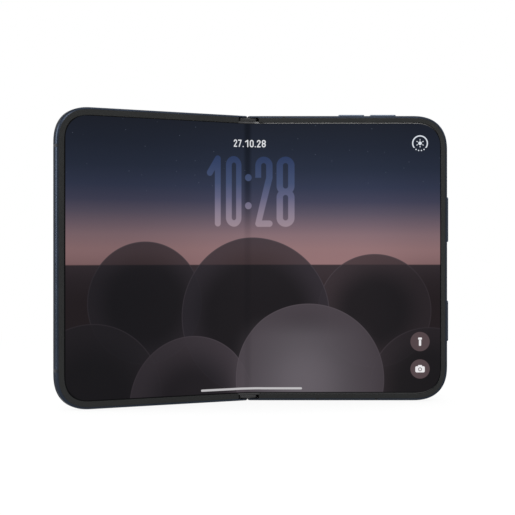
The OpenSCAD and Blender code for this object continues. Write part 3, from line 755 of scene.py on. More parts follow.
def wallpaper(tree, x, z):
    """Sky over dark ground with overlapping soft discs, a pale sheen and painted shade at crease and
    sides.
    """
    ground = mixed(tree, z.rise(GROUND_Z, GROUND_Z - 16.0), *GROUND)
    shown = z.rise(GROUND_Z + 0.3, GROUND_Z - 0.3, 0.0, 0.94)
    picture = mixed(tree, shown, sky(tree, x, z), ground)
    for centre, radius, rim, deep, fade in DISCS:
        depth = from_disc(x, z, centre, radius) * -1.0
        body = mixed(tree, depth.rise(0.0, fade), rim, deep)
        picture = mixed(tree, depth.rise(-0.12, 0.12, 0.0, DISC_COVER), picture, body)
        line = depth.rise(-0.1, 0.1) * depth.rise(0.2, 0.5, 0.2, 0.0)
        picture = mixed(tree, line, picture, CREST_LINE)
    # The ground grows darker towards both sides
    darker_ground_sides = (x.rise(-62.0, 8.0, 0.42, 0.0) + x.rise(40.0, 78.0, 0.0, 0.45)) * z.rise(64.0, 50.0)
    picture = mixed(tree, darker_ground_sides, picture, GROUND_SIDE_DARK)
    sheen = from_disc(x, z * 0.8, (24.0, 6.0), 0.0).rise(1.0, 36.0, 0.62, 0.0) * z.rise(38.0, 26.0)
    picture = mixed(tree, sheen, picture, SHEEN)
    # Painted shade: the picture darker towards the left, on the turned half, and a little towards the
    # right edge
    edges = x.rise(-65.0, 15.0, 0.26, 0.0) + x.rise(45.0, 82.0, 0.0, 0.14)
    picture = mixed(tree, edges, picture, PAINTED_SIDE_SHADE)
    # Painted shade along the crease of the fold, stronger towards the top of the screen
    crease = abs(x + 0.35).rise(0.3, 2.4, 1.0, 0.0) * z.rise(66.0, 96.0, 0.12, 0.55)
    return mixed(tree, crease, picture, PAINTED_CREASE_SHADE)


def numeral(x, z, digit, centre, width, height, stroke):
    """Distance from a tall plain numeral, drawn in shares of its width and height."""
    w, h = width - stroke, height - stroke

    def place(right, up):
        return centre[0] + right * w, centre[1] + up * h

    def line(start, end):
        return from_stroke(x, z, place(*start), place(*end), stroke)

    def bowl(up, tall):
        return ring_of(from_bar(x, z, place(0, up), w, tall * h, min(w, tall * h) / 2), stroke)

    if digit == "0":
        return bowl(0, 1)
    if digit == "1":
        return nearest([line((0.35, -0.5), (0.35, 0.5)), line((0.35, 0.5), (-0.4, 0.28))])
    if digit == "7":
        return nearest([line((-0.5, 0.5), (0.5, 0.5)), line((0.5, 0.5), (-0.25, -0.5))])
    if digit == "8":
        return nearest([bowl(0.25, 0.5), bowl(-0.25, 0.5)])
    bend = 0.22
    bow = bowl(bend, 1 - 2 * bend).most(place(0, bend)[1] - z)
    foot = (-0.5, -0.5)
    return nearest([bow, line((0.5, bend), foot), line(foot, (0.5, -0.5))])


def numerals(x, z, text, centre, width, height, stroke, gap):
    """Distance from a row of numerals. A dot or a colon takes less room."""
    rooms = [stroke * 1.1 if c in DOTS else width for c in text]
    start = centre[0] - (sum(rooms) + gap * (len(text) - 1)) / 2
    parts = []
    for character, room in zip(text, rooms):
        at = start + room / 2
        for up in DOTS.get(character, ()):
            parts.append(from_disc(x, z, (at, centre[1] + height * up), stroke * 0.55))
        if character not in DOTS:
            parts.append(numeral(x, z, character, (at, centre[1]), room, height, stroke))
        start += room + gap
    return nearest(parts)


def status_mark(x, z):
    """Open ring with a small sun in it and four dots under it."""
    centre = (ICON_X, STATUS_Z)

    def spot(radius, turn):
        return (centre[0] + radius * math.cos(math.radians(turn)),
                centre[1] + radius * math.sin(math.radians(turn)))

    ring = ring_of(from_disc(x, z, centre, STATUS_R), 0.5).most((centre[1] - 1.9) - z)
    rays = [from_stroke(x, z, spot(1.25, a), spot(1.6, a), 0.3) for a in range(30, 360, 60)]
    dots = [from_disc(x, z, spot(STATUS_R, a), 0.27) for a in range(237, 304, 22)]
    return nearest([ring, from_disc(x, z, centre, 0.75), *rays, *dots])


def torch_mark(x, z, centre):
    handle = from_bar(x, z, (centre[0], centre[1] - 0.55), 0.95, 2.5, 0.25)
    head = from_bar(x, z, (centre[0], centre[1] + 1.25), 1.6, 0.9, 0.3)
    return handle.least(head)


def camera_mark(x, z, centre):
    body = from_bar(x, z, (centre[0], centre[1] - 0.15), 4.0, 2.6, 0.6)
    hump = from_bar(x, z, (centre[0], centre[1] + 1.2), 1.7, 0.9, 0.3)
    lens = from_disc(x, z, (centre[0], centre[1] - 0.15), 0.65)
    return body.least(hump).most(ring_of(lens, 0.28) * -1.0)


def make_display_material():
    """Lit inner screen."""
    material, tree, shader = new_material("inner_display")
    x, _, z = flat_place(tree)
    picture = wallpaper(tree, x, z)
    clock = numerals(x, z, "10:28", (0.0, (CLOCK_TOP + CLOCK_BOTTOM) / 2), *CLOCK_DIGIT)
    ink = graded(tree, (z - CLOCK_BOTTOM) / (CLOCK_TOP - CLOCK_BOTTOM), CLOCK_INK)
    picture = mixed(tree, inside(clock, 0.16), picture, ink)
    date = numerals(x, z, "27.10.28", (0.4, DATE_Z), *DATE_DIGIT)
    picture = mixed(tree, inside(date), picture, WHITE_INK)
    picture = mixed(tree, inside(status_mark(x, z)), picture, MARK_INK)
    for mark, height in ((torch_mark, TORCH_Z), (camera_mark, CAMERA_Z)):
        centre = (ICON_X, height)
        picture = mixed(tree, inside(from_disc(x, z, centre, ICON_R)), picture, ICON_DISC)
        picture = mixed(tree, inside(mark(x, z, centre)), picture, ICON_INK)
    bar = from_bar(x, z, *HOME_BAR, 0.44)
    picture = mixed(tree, inside(bar), picture, BAR_INK)
    lit = from_bar(x, z, (DISPLAY_SHIFT, (BODY_H + DISPLAY_RAISE) / 2),
                   2 * (HALF_W - DISPLAY_INSET), BODY_H - 2 * DISPLAY_INSET - DISPLAY_RAISE,
                   DISPLAY_R - DISPLAY_INSET)
    # Outside the picture the dark border still emits a faint colour: a painted glow
    picture = mixed(tree, inside(lit, 0.07), BORDER_PAINTED_GLOW, picture)
    smear = noise(tree, 0.03, 4.0)
    fill(tree, shader, {
        "Emission Color": picture, "Emission Strength": 1.0, "Specular IOR Level": 0.02,
        "Base Color": mixed(tree, smear, (2, 2, 3), (5, 5, 6)), "Roughness": rough(smear, 0.16, 0.24)})
    return material


def make_circuit_material():
    """Green board with finer and lighter tracks."""
    material, tree, shader = new_material("circuit_board")
    upright = add_node(tree, "Mapping", {
        "Vector": object_place(tree), "Rotation": (math.radians(90), 0, 0)})
    bricks = add_node(tree, "TexBrick", {
        "Vector": upright.outputs[0], "Scale": 420, "Mortar Size": 0.05})
    tracks = Value(tree, bricks.outputs["Fac"])
    board = mixed(tree, noise(tree, 0.2), (14, 62, 44), (22, 84, 58))
    fill(tree, shader, {
        "Base Color": mixed(tree, tracks * 0.7, board, (96, 128, 84)), "Roughness": 0.42,
        "Normal": bump(tree, tracks, 0.03, 0.5)})
    return material


def make_flash_material():
    """Yellow phosphor under a moulded lens of fine rings."""
    material, tree, shader = new_material("flash_lens")
    centre = MAIN @ Vector((FLASH_X, 0, PLATEAU_Z))
    x, _, z = parted(tree, object_place(tree))
    away = from_disc(x / MM, z / MM, (centre.x, centre.z), 0.0)
    rings = (away * 22.0).sine() * 0.5 + 0.5
    fill(tree, shader, {
        "Base Color": mixed(tree, away.rise(0.5, 1.3), (244, 226, 150), (226, 222, 206)),
        "Roughness": 0.2, "Normal": bump(tree, rings, 0.05, 0.6)})
    return material


def glassy(name, scale, dark, light, roughness, specular, tint):
    """Dark glass whose gloss has a tint."""
    material, tree, shader = new_material(name)
    stain = noise(tree, scale, 3.0)
    fill(tree, shader, {
        "Base Color": mixed(tree, stain, dark, light), "Roughness": rough(stain, *roughness),
        "Specular IOR Level": specular, "Specular Tint": (*tint, 1)})
    return material


def make_outer_display_material():
    """Dark outer screen under glass, with a faintly lighter lit area and wiping marks."""
    material, tree, shader = new_material("outer_display")
    x, _, z = flat_place(tree)
    centre = ((GLASS_X + HALF_W - EDGE_R) / 2, BODY_H / 2)
    width = HALF_W - EDGE_R - GLASS_X - OUTER_BORDER
    height = BODY_H - 2 * EDGE_R - OUTER_BORDER
    active = inside(from_bar(x, z, centre, width, height, OUTER_DISPLAY_R), 0.1)
    smear = noise(tree, 0.04, 4.0, 0.6)
    rim = mixed(tree, smear, (2, 3, 4), (5, 6, 7))
    panel = mixed(tree, smear, (11, 12, 16), (15, 16, 21))
    fill(tree, shader, {
        "Base Color": mixed(tree, active, rim, panel), "Roughness": rough(smear, 0.05, 0.13),
        "Specular IOR Level": 0.3})
    return material


# Of each metal: its name, both colours, roughness, grain and wear per mm, and depth of the grain
METALS = {
    "frame": ("navy_aluminium", (39, 44, 53), (46, 52, 62), (0.3, 0.38), 4.0, 0.05, 0.001),
    # Keys share the frame's metal: top keys lighter as painted light, side keys darker as painted
    # shade
    "button": ("navy_aluminium_keys_painted_light", (80, 88, 101), (88, 97, 110), (0.26, 0.36), 4.0, 0.05, 0.002),
    "side_key_painted_shade": ("navy_aluminium_side_keys_painted_shade", (50, 57, 67), (57, 65, 76), (0.26, 0.36), 3.0, 0.06,
                    0.002),
    "plateau": ("navy_aluminium_plateau", (38, 46, 60), (46, 55, 70), (0.3, 0.4), 4.0, 0.05, 0.002),
    "spine": ("spine_steel", (42, 47, 56), (52, 58, 68), (0.24, 0.4), 8.0, 0.1, 0.004),
    "steel": ("brushed_steel", (150, 152, 156), (178, 180, 184), (0.25, 0.4), 3.0, 0.2, 0.005),
    "plate": ("etched_plate", (132, 134, 138), (158, 160, 164), (0.32, 0.5), 2.0, 0.1, 0.01),
    "bright": ("plated_metal", (176, 176, 180), (205, 205, 208), (0.16, 0.28), 2.0, 0.2, 0.004),
    "copper": ("copper_foil", (188, 116, 62), (208, 136, 80), (0.25, 0.4), 2.0, 0.1, 0.01),
}
METAL_EDGES = {"frame": 0.5, "button": 0.5, "side_key_painted_shade": 0.5, "plateau": 0.4, "spine": 0.4}
BRUSHED = {"spine": (8.0, 8.0, 0.3), "steel": (1.0, 1.0, 0.1)}
# As the metals, with the strength of the gloss last
PLASTICS = {
    "band": ("antenna_plastic", (23, 26, 32), (28, 32, 38), (0.45, 0.55), 5.0, 0.1, 0.003, 0.12),
    "bezel": ("bezel_rubber", (25, 26, 26), (30, 31, 31), (0.34, 0.42), 5.0, 0.05, 0.003, 0.2),
    "film": ("screen_film_edge", (31, 31, 32), (36, 36, 37), (0.25, 0.29), 5.0, 0.05, 0.0001, 0.5),
    "back_glass": ("frosted_glass", (25, 34, 50), (30, 40, 57), (0.3, 0.4), 4.0, 0.03, 0.002, 0.3),
    "outer_glass": ("outer_display_glass", (5, 6, 8), (9, 10, 13), (0.06, 0.12), 3.0, 0.04, 0.001,
                    0.3),
    "cap": ("hinge_cap", (24, 24, 25), (31, 31, 32), (0.28, 0.36), 5.0, 0.1, 0.002, 0.4),
    "pouch": ("battery_pouch", (30, 31, 34), (44, 45, 48), (0.3, 0.5), 0.4, 0.06, 0.12, 0.4),
    "module": ("moulded_black", (18, 18, 20), (27, 27, 30), (0.38, 0.55), 3.0, 0.2, 0.01, 0.35),
}
COATS = {"back_glass": 0.1}


def make_materials():
    made = {
        "display": make_display_material(),
        "board": make_circuit_material(),
        "flash": make_flash_material(),
        "lens_glass": glassy("lens_glass", 0.1, (6, 7, 9), (11, 12, 15), (0.03, 0.07), 0.5,
                             (1.0, 1.0, 1.0)),
        "lens_element": glassy("lens_element", 0.4, (5, 6, 12), (10, 9, 18), (0.045, 0.055), 0.8,
                               (0.42, 0.5, 1.0)),
        "outer_display": make_outer_display_material(),
    }
    for key, look in METALS.items():
        made[key] = grained(*look, 1.0, edge=METAL_EDGES.get(key, 1.0), stretch=BRUSHED.get(key))
    for key, (*look, gloss) in PLASTICS.items():
        made[key] = grained(*look, 0.0, gloss, coat=COATS.get(key, 0.0))
    return made


MATERIALS = make_materials()


# ---- Frames ----


def rim_arc(steps):
    """Front edge of the frame, from its outer face to the rim round the bezel."""
    turn = 180 + math.degrees(math.acos((EDGE_R - RIM_W) / EDGE_R))
    return arc((EDGE_R, EDGE_R), EDGE_R, 180, turn, steps)


def wall_section():
    return (
        rim_arc(12)
        + [(RIM_W, SCREEN_BACK), (SCREEN_INSET, SCREEN_BACK), (SCREEN_INSET, WEB_FRONT),
           (WALL_T + WALL_STEP, WEB_FRONT), (WALL_T + WALL_STEP, WEB_BACK), (WALL_T, WEB_BACK),
           (WALL_T, GLASS_FRONT), (EDGE_R, GLASS_FRONT)]
        + arc((EDGE_R, BODY_T - EDGE_R), EDGE_R, 90, 180, 14)[:-1]
        + [(0, BODY_T - EDGE_R)]
    )


def rail_section():
    """Rail along the hinge, with the lip that covers the spine."""
    x0 = SPINE_GAP * 1.5
    step_x = FOLD_HALF + FOLD_STEP
    return (
        [(x0, LIP_FRONT)]
        + arc((PIVOT_X, PIVOT_DEPTH), SPINE_R + SPINE_GAP, 90, 33, 12)
        + [(FOLD_HALF - 0.4, WEB_BACK + 0.42), (FOLD_HALF - 0.34, WEB_BACK + 0.12),
           (step_x, WEB_BACK + 0.12), (step_x, WEB_FRONT), (RAIL_X, WEB_FRONT),
           (RAIL_X, GLASS_FRONT), (GLASS_X, GLASS_FRONT), (GLASS_X, BODY_T)]
        + arc((x0 + LIP_EASE, BODY_T - LIP_EASE), LIP_EASE, 90, 180, 5)
    )


def ear():
    """Thin rounded end of the frame at the hinge, built up from its outer face inward."""
    rings = []
    steps = 10
    for i in range(steps + 1):
        z = EAR_T * i / steps
        ease = EDGE_R - math.sqrt(EDGE_R ** 2 - (EDGE_R - z) ** 2)
        near = max(0.0, EAR_ROUND - z)
        tip_r = EAR_TIP_R - (EAR_ROUND - math.sqrt(EAR_ROUND ** 2 - near ** 2))
        start = 180 + math.degrees(math.asin(min(1.0, (PIVOT_DEPTH - ease) / tip_r)))
        tip = [(FRAME_X + EAR_LAP, ease)] + arc((PIVOT_X, PIVOT_DEPTH), tip_r, start, 180, 12)
        back = BODY_T - ease
        fillet = arc((PIVOT_X - tip_r + EAR_FILLET, back - EAR_FILLET), EAR_FILLET, 180, 90, 4)
        rings.append(lifted(tip + fillet + [(FRAME_X + EAR_LAP, back)], z))
    return ring_solid(rings)


def band_gap(x=None):
    """Cutter of an antenna gap: across the top or bottom edge at x, or across the side."""
    if x is None:
        return box_solid((HALF_W - BAND_W, -1, BAND_Z - BAND_W / 2),
                         (HALF_W + 1, BODY_T + 1, BAND_Z + BAND_W / 2))
    return box_solid((x - BAND_W / 2, -1, -1), (x + BAND_W / 2, BODY_T + 1, BAND_W))


def flared_slot(length, width, fit, inner=WALL_T + 1.0, flare=0.1):
    """Slot along z with its mouth at z = 0 flared, for taking away from a wall."""

    def ring(z, inset):
        return lifted(pill_outline((0, 0), length + 2 * fit, width + 2 * fit, inset), z)

    return ring_solid([ring(-1.0, -flare), ring(0.0, -flare), ring(flare, 0), ring(inner, 0)])


def on_edge(x, z_up=False):
    """Place of a shape that is drawn on the bottom edge, z inward, at x along an edge."""
    if z_up:
        return Matrix.Translation((x, BUTTON_DEPTH, BODY_H)) @ Matrix.Rotation(math.pi, 4, "X")
    return Matrix.Translation((x, BUTTON_DEPTH, 0))


def on_side(z):
    return Matrix.Translation((HALF_W, BUTTON_DEPTH, z)) @ Matrix.Rotation(-math.pi / 2, 4, "Y")


def key_place(name):
    """Place of a key, on the top edge or on the side, at the middle of its node."""
    low, high = node_box(KEYS[name][0])
    centre = (low + high) / 2
    if name.startswith("volume"):
        return on_edge(centre.x - HINGE_X, True)
    return on_side(centre.z)


def sound_hole(x):
    return moved(flared_slot(2 * HOLE_R + 0.02, 2 * HOLE_R, 0, flare=HOLE_FLARE), on_edge(x))


def speaker_holes(x):
    return [sound_hole(x + HOLE_PITCH * i) for i in range(SPEAKER_HOLES)]


def half_frame(name):
    piece = loose_object(name, edge_sweep(wall_section(), FRAME_X))
    web = slab(lambda inset: half_outline(FOLD_HALF + FOLD_STEP + inset, WEB_EDGE + inset),
               [(0, WEB_FRONT), (0, WEB_BACK)])
    rail = along_z(rail_section(), SPINE_Z, BODY_H - SPINE_Z)
    carve(piece, "UNION", [rail, web, *both_ends(ear()), *both_ends(box_solid(*ARM_SEAT))])
    carve(piece, "DIFFERENCE", [*both_ends(box_solid(*ARM_POCKET)), box_solid(*FLEX_SLOT),
                                *both_ends(band_gap())])
    return piece


def make_main_frame():
    piece = half_frame("main_frame_shell")
    cuts = [band_gap(x) for x in BANDS_BOTTOM] + [mirrored_end(band_gap(x)) for x in BANDS_TOP]
    cuts += [moved(flared_slot(length, BUTTON_W, BUTTON_FIT), key_place(name))
             for name, (_, _, length, _) in KEYS.items()]
    port = flared_slot(PORT_SHELL_L, PORT_SHELL_W, PORT_FIT, PORT_SLOT, PORT_FLARE)
    cuts.append(moved(port, Matrix.Translation((PORT_X, PORT_DEPTH, 0))))
    cuts += speaker_holes(PORT_X + SPEAKER_FROM_PORT)
    cuts.append(sound_hole(PORT_X + MICROPHONE_FROM_PORT))
    carve(piece, "DIFFERENCE", cuts)
    finish_piece(piece, "main_half", "frame", ["main_frame"])


def make_cover_frame():
    piece = half_frame("cover_frame_shell")
    carve(piece, "DIFFERENCE", speaker_holes(COVER_SPEAKER_X))
    finish_piece(piece, "cover_half", "frame", ["cover_frame"])


def band_section():
    """Outer slice of the wall section that an antenna band fills."""
    return (
        rim_arc(10)
        + [(RIM_W, SCREEN_BACK), (BAND_W, SCREEN_BACK), (BAND_W, BODY_T - 0.02)]
        + arc((EDGE_R, BODY_T - EDGE_R), EDGE_R, 98, 180, 10)
    )


def side_band():
    points = [(HALF_W - u, depth) for u, depth in band_section()]
    return along_z(points, BAND_Z - BAND_W / 2 + BAND_FIT, BAND_Z + BAND_W / 2 - BAND_FIT)


def edge_band(x):
    reach = BAND_W / 2 - BAND_FIT
    return ring_solid([[(at, depth, u) for u, depth in band_section()]
                       for at in (x - reach, x + reach)])


def make_bands():
    sides = both_ends(side_band())
    edges = [edge_band(x) for x in BANDS_BOTTOM] + [mirrored_end(edge_band(x)) for x in BANDS_TOP]
    for half, bands in (("main", sides + edges), ("cover", sides)):
        add_piece(half + "_antenna_inlays", joined(*bands), half + "_half", "band",
                  [half + "_antenna_bands"])


# ---- Bezels and glass ----


def bezel_section(width):
    """Outline of a bezel that reaches from the frame's rim over the edge of the screen."""
    outer, inner = BEZEL_OUTER_ROUND, BEZEL_INNER_ROUND
    start, back = RIM_W + BEZEL_FIT, SCREEN_RECESS - SCREEN_FIT
    return (
        [(start, SCREEN_BACK), (start, BEZEL_FRONT + outer)]
        + arc((start + outer, BEZEL_FRONT + outer), outer, 180, 270, 5)
        + arc((width - inner, BEZEL_FRONT + inner), inner, 270, 360, 6)
        + [(width, back), (SCREEN_INSET - SCREEN_FIT, back),
           (SCREEN_INSET - SCREEN_FIT, SCREEN_BACK)]
    )


def make_bezels():
    for half, width in (("main", MAIN_BEZEL_W), ("cover", COVER_BEZEL_W)):
        add_piece(half + "_bezel_lip", edge_sweep(bezel_section(width), FRAME_X), half + "_half",
                  "bezel", [half + "_bezel"])


def back_outline(inset):
    return half_outline(GLASS_X + GLASS_FIT + inset, EDGE_R + GLASS_FIT + inset)


def rear_bores():
    """Cutters for both lenses and the flash."""
    bores = [bore(place, LENS_BORE_R) for place in LENS_PLACES]
    return bores + [bore((FLASH_X, PLATEAU_Z), FLASH_R + FLASH_FIT)]


def make_back_panels():
    panel = slab(back_outline, eased_profile(GLASS_EASE, GLASS_FRONT, BODY_T))
    add_piece("main_rear_glass", panel, "main_half", "back_glass",
              ["main_back_glass"], rear_bores())
    add_piece("cover_outer_glass", panel, "cover_half", "outer_display",
              ["cover_glass"], [bore(SELFIE_PLACE, SELFIE_R)])
    # Ring with a shallow step inward, from its outer wall to its inner one
    steps = [(0.03, GLASS_FRONT), (0.03, BODY_T - 0.04), (0.12, BODY_T - 0.02),
             (0.35, BODY_T - 0.02), (0.45, BODY_T - 0.14), (0.6, BODY_T - 0.14),
             (0.62, GLASS_FRONT)]
    ring = [(SELFIE_R - inward, depth) for inward, depth in steps]
    add_piece("selfie_surround", revolved(ring, SELFIE_PLACE), "cover_half", "module")
    lens = dome(SELFIE_R - 0.64, GLASS_FRONT + 0.02, BODY_T - 0.3, 0.2, (0, 18, 36, 54, 72, 84))
    add_piece("selfie_element", turned_disc(lens, SELFIE_PLACE), "cover_half", "lens_element")


# ---- Inner screen ----


def screen_columns():
    """Distances from the hinge line at which the screen has a line of points, with its lower ends."""
    flat_w = HALF_W - CORNER_SIZE
    bend = [(FOLD_HALF * i / FOLD_STATIONS, SCREEN_INSET) for i in range(FOLD_STATIONS + 1)]
    flat = [(flat_w * k, SCREEN_INSET) for k in (0.25, 0.5, 0.75)]
    corner = [(x + SCREEN_INSET * u, BODY_H - z - SCREEN_INSET * w)
              for (x, z), (u, w) in reversed(corner_stations())]
    return bend + flat + corner


def smooth(share):
    share = min(1.0, max(0.0, share))
    return share * share * (3 - 2 * share)


def bent_piece(name, body, rings, on_half, on_spine, nodes):
    """Piece that is drawn flat on its half and bends from the place on_half to the one on_spine."""
    flat_place_of = PLACES[body]
    pivot, angle = FOLDS[body]
    start, end = flat_place_of @ Vector((*on_half, 0)), SPINE @ Vector((*on_spine, 0))
    run = end - start
    points, faces = ring_solid(rings)
    placed = []
    for point in points:
        flat = flat_place_of @ Vector(point)
        now = flat
        for _ in range(BEND_ROUNDS):
            share = smooth((now - start).dot(run) / run.length_squared)
            now = turn_about(pivot, angle * share) @ flat
        placed.append(now * MM)
    piece = loose_object(name, (placed, faces))
    sign = 1 if body == "main_half" else -1
    keep_flat_places(piece.data, [(sign * x, depth, z) for x, depth, z in points])
    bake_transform(piece)
    if nodes:
        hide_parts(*nodes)
    return piece


def screen_ring(x, low):
    """Points of the screen at x, from its lower front edge round its upper end to its back."""
    slope = min(FILM_SLOPE_W, BODY_H / 2 - low)
    front = [(low, SCREEN_RECESS + FILM_SLOPE), (low + slope, SCREEN_RECESS)]
    over = [(BODY_H - z, depth) for z, depth in reversed(front)]
    back = [(BODY_H - low, SCREEN_BACK), (low, SCREEN_BACK)]
    return [(x, depth, z) for z, depth in front + over + back]


def make_screen(name, body, nodes):
    """Half of the folding screen: the picture on its front face, the film's edge all round."""
    rings = [screen_ring(x, low) for x, low in screen_columns()]
    piece = bent_piece(name, body, rings, (FOLD_HALF, SCREEN_RECESS), (0, SCREEN_RECESS),
                       nodes)
    depths = [depth for ring in rings for _, depth, _ in ring]
    with edited(piece.data) as work:
        smooth_faces(work, SCREEN_TURN)
        for face in work.faces:
            front = all(depths[vertex.index] == SCREEN_RECESS for vertex in face.verts)
            face.material_index = 0 if front else 1
    piece.data.materials.append(MATERIALS["display"])
    piece.data.materials.append(MATERIALS["film"])


def make_screens():
    make_screen("inner_screen_main", "main_half", ["main_screen_panel", "fold_strip"])
    make_screen("inner_screen_cover", "cover_half", ["cover_inner_panel"])


def make_flex(name, body, nodes=()):
    """Half of the flat cable through the hinge, which steps forward between spine and half."""
    low, high = FLEX_ENDS
    rings = []
    for i in range(FLEX_STATIONS + 1):
        x = FLEX_REACH * i / FLEX_STATIONS
        share = smooth((x - FLEX_STEP[0]) / (FLEX_STEP[1] - FLEX_STEP[0]))
        front = FLEX_SPINE[1] + (FLEX_HALF[1] - FLEX_SPINE[1]) * share
        back = front + FLEX_T
        rings.append([(x, front, low), (x, back, low), (x, back, high), (x, front, high)])
    piece = bent_piece(name, body, rings, FLEX_HALF, FLEX_SPINE, nodes)
    piece.data.materials.append(MATERIALS["copper"])


def make_flexes():
    make_flex("hinge_flex_main", "main_half", ["hinge_flex_cable"])
    make_flex("hinge_flex_cover", "cover_half")


# ---- Keys, cameras and sockets ----


def key_shape(length, proud):
    """Key along z: a rounded cap above z = 0 and a shank through the wall."""

    def ring(z, inset):
        return lifted(pill_outline((0, 0), length, BUTTON_W, inset, 14), z)

    ease = min(KEY_EASE, proud * 0.8)
    turn = [math.radians(90 * i / 6) for i in range(7)]
    cap = [ring(-proud + ease * (1 - math.sin(a)), ease * (1 - math.cos(a))) for a in reversed(turn)]
    return ring_solid(cap + [ring(WALL_T + 0.2, 0)])


def make_keys():
    """Each key with the flange that keeps it inside the wall."""
    for name, (node, body, length, proud) in KEYS.items():
        place = key_place(name)
        piece = loose_object(name, moved(key_shape(length, proud), place))
        x, y, z = length / 2 + FLANGE_W, BUTTON_W / 2 + FLANGE_W, WALL_T + FLANGE_GAP
        carve(piece, "UNION", [moved(box_solid((-x, -y, z), (x, y, z + FLANGE_T)), place)])
        # Keys on the top edge take the copy with painted light, keys on the side the copy with painted
        # shade
        material = "button" if name.startswith("volume") else "side_key_painted_shade"
        finish_piece(piece, "main_half", material, [node], body)


def make_camera_block():
    def outline(inset):
        return pill_outline((PLATEAU_X, PLATEAU_Z), *PLATEAU_SIZE, inset, 40)

    base, top = BODY_T + PLATEAU_H, BODY_T + PLATEAU_H + RING_H
    plateau = slab(outline, eased_profile(PLATEAU_EASE, BODY_T, base, 8))
    add_piece("camera_island", plateau, "main_half", "plateau", ["camera_plateau"],
              rear_bores())
    inner, outer_r, inner_r = RING_R - RING_W, RING_OUTER_ROUND, RING_INNER_ROUND
    profile = (
        [(RING_R, base)]
        + arc((RING_R - outer_r, top - outer_r), outer_r, 0, 90, 6)
        + arc((inner + inner_r, top - inner_r), inner_r, 90, 180, 4)
        + [(inner, base)]
    )
    rings = [revolved(profile, place) for place in LENS_PLACES]
    add_piece("lens_bezels", joined(*rings), "main_half", "plateau", ["lens_rings"])


def baffle(well, opening, base, face):
    """Profile of a black ring that steps down from the well to the opening of a lens."""
    outer = well - WELL_FIT
    steps = [(outer, base)]
    for i in range(5):
        r, depth = outer - 0.3 * i, face - 0.14 - 0.12 * i
        steps += [(r, depth), (r - 0.22, depth), (r - 0.3, depth - 0.12)]
    return steps + [(opening - WELL_FIT, base)]


def make_optics():
    """Ring of black glass, stepped baffle and domed lens inside each camera's rim."""
    base = BODY_T + PLATEAU_H + 0.02
    edge, face = RING_R - RING_W - WINDOW_FIT, BODY_T + PLATEAU_H + RING_H - WINDOW_SUNK
    windows = []
    for (name, opening), place in zip(LENS_OPENINGS.items(), reversed(LENS_PLACES)):
        well = opening + WELL_W
        windows.append(revolved([
            (edge, base), (edge, face - 0.08), (edge - 0.08, face), (well + 0.12, face),
            (well, face - 0.12), (well, base)], place))
        add_piece(name + "_baffle", revolved(baffle(well, opening, base, face), place), "main_half",
                  "module")
        lens = dome(opening - LENS_FIT, base, base + 0.1, LENS_RISE, range(0, 85, 12))
        add_piece(name + "_element", turned_disc(lens, place), "main_half", "lens_element")
    add_piece("lens_windows", joined(*windows), "main_half", "lens_glass",
              ["lens_covers"])


def make_port():
    """Metal shell of the socket and its contact tongue with separate contacts."""

    def ring(z, inset):
        outline = pill_outline((PORT_X, PORT_DEPTH), PORT_SHELL_L, PORT_SHELL_W, inset, 14)
        return lifted(outline, z)

    wall = PORT_WALL
    shell = ring_solid([
        ring(PORT_L + 0.05 + wall, 0), ring(0.2, 0), ring(0.08, 0.08), ring(0.08, wall - 0.08),
        ring(0.2, wall), ring(PORT_L + 0.05, wall),
    ])
    add_piece("port_liner", shell, "main_half", "bright", ["port_shell"])
    half_x, half_y = TONGUE
    corners = [(PORT_X + a * half_x, PORT_DEPTH + b * half_y)
               for a, b in ((-1, -1), (1, -1), (1, 1), (-1, 1))]
    add_piece("port_contact_tongue", along_z(corners, TONGUE_START, PORT_L, TONGUE_EASE), "main_half",
              "module", ["port_tongue"])
    contacts = []
    start, end = CONTACT_ENDS
    for side in (-1, 1):
        for i in range(CONTACTS):
            x = PORT_X + CONTACT_PITCH * (i - (CONTACTS - 1) / 2)
            y = PORT_DEPTH + side * (half_y + 0.01)
            contacts.append(box_solid((x - CONTACT_W / 2, y - CONTACT_T / 2, start),
                                      (x + CONTACT_W / 2, y + CONTACT_T / 2, end)))
    add_piece("port_contacts", joined(*contacts), "main_half", "copper")


# ---- Spine ----


def spine_outline(radius, front):
    """Closed outline in x and y round both pivots, cut off in front of the depth front."""
    stop = math.degrees(math.asin(min(1.0, (PIVOT_DEPTH - front) / radius)))
    left = arc((-PIVOT_X, PIVOT_DEPTH), radius, 90, 180 + stop, 24)
    right = [(-x, y) for x, y in reversed(left)]
    return left + right


def make_spine():
    z0 = SCREEN_INSET + SHELL_FIT
    inner_r = SPINE_R - SPINE_WALL
    turn = math.degrees(math.asin(SHELL_RIM / SPINE_R))
    inner_turn = math.degrees(math.asin(SHELL_RIM / inner_r))
    right, left = (PIVOT_X, PIVOT_DEPTH), (-PIVOT_X, PIVOT_DEPTH)
    outer = arc(right, SPINE_R, turn, 90, 12) + arc(left, SPINE_R, 90, 180 - turn, 12)
    inner = arc(left, inner_r, 180 - inner_turn, 90, 10) + arc(right, inner_r, 90, inner_turn, 10)
    add_piece("spine_shell", along_z(outer + inner, z0, BODY_H - z0), "spine", "spine",
              ["spine_cover"])
    middle, half = CAP_BAR
    turns = [math.radians(a) for a in range(-84, 85, 14)]
    bar = [(middle + half * math.sin(t), CAP_SUNK * (1 - math.cos(t))) for t in turns]
    front = SCREEN_RECESS - SCREEN_FIT
    cap = ring_solid([
        lifted(spine_outline(SPINE_R - 0.5 * sunk, front + sunk), z)
        for z, sunk in [(SPINE_Z, CAP_SUNK)] + bar + [(SCREEN_INSET, CAP_SUNK)]
    ])
    add_piece("spine_caps", joined(*both_ends(cap)), "spine", "cap",
              ["spine_end_caps"])


# ---- CAD nodes that keep their shape ----

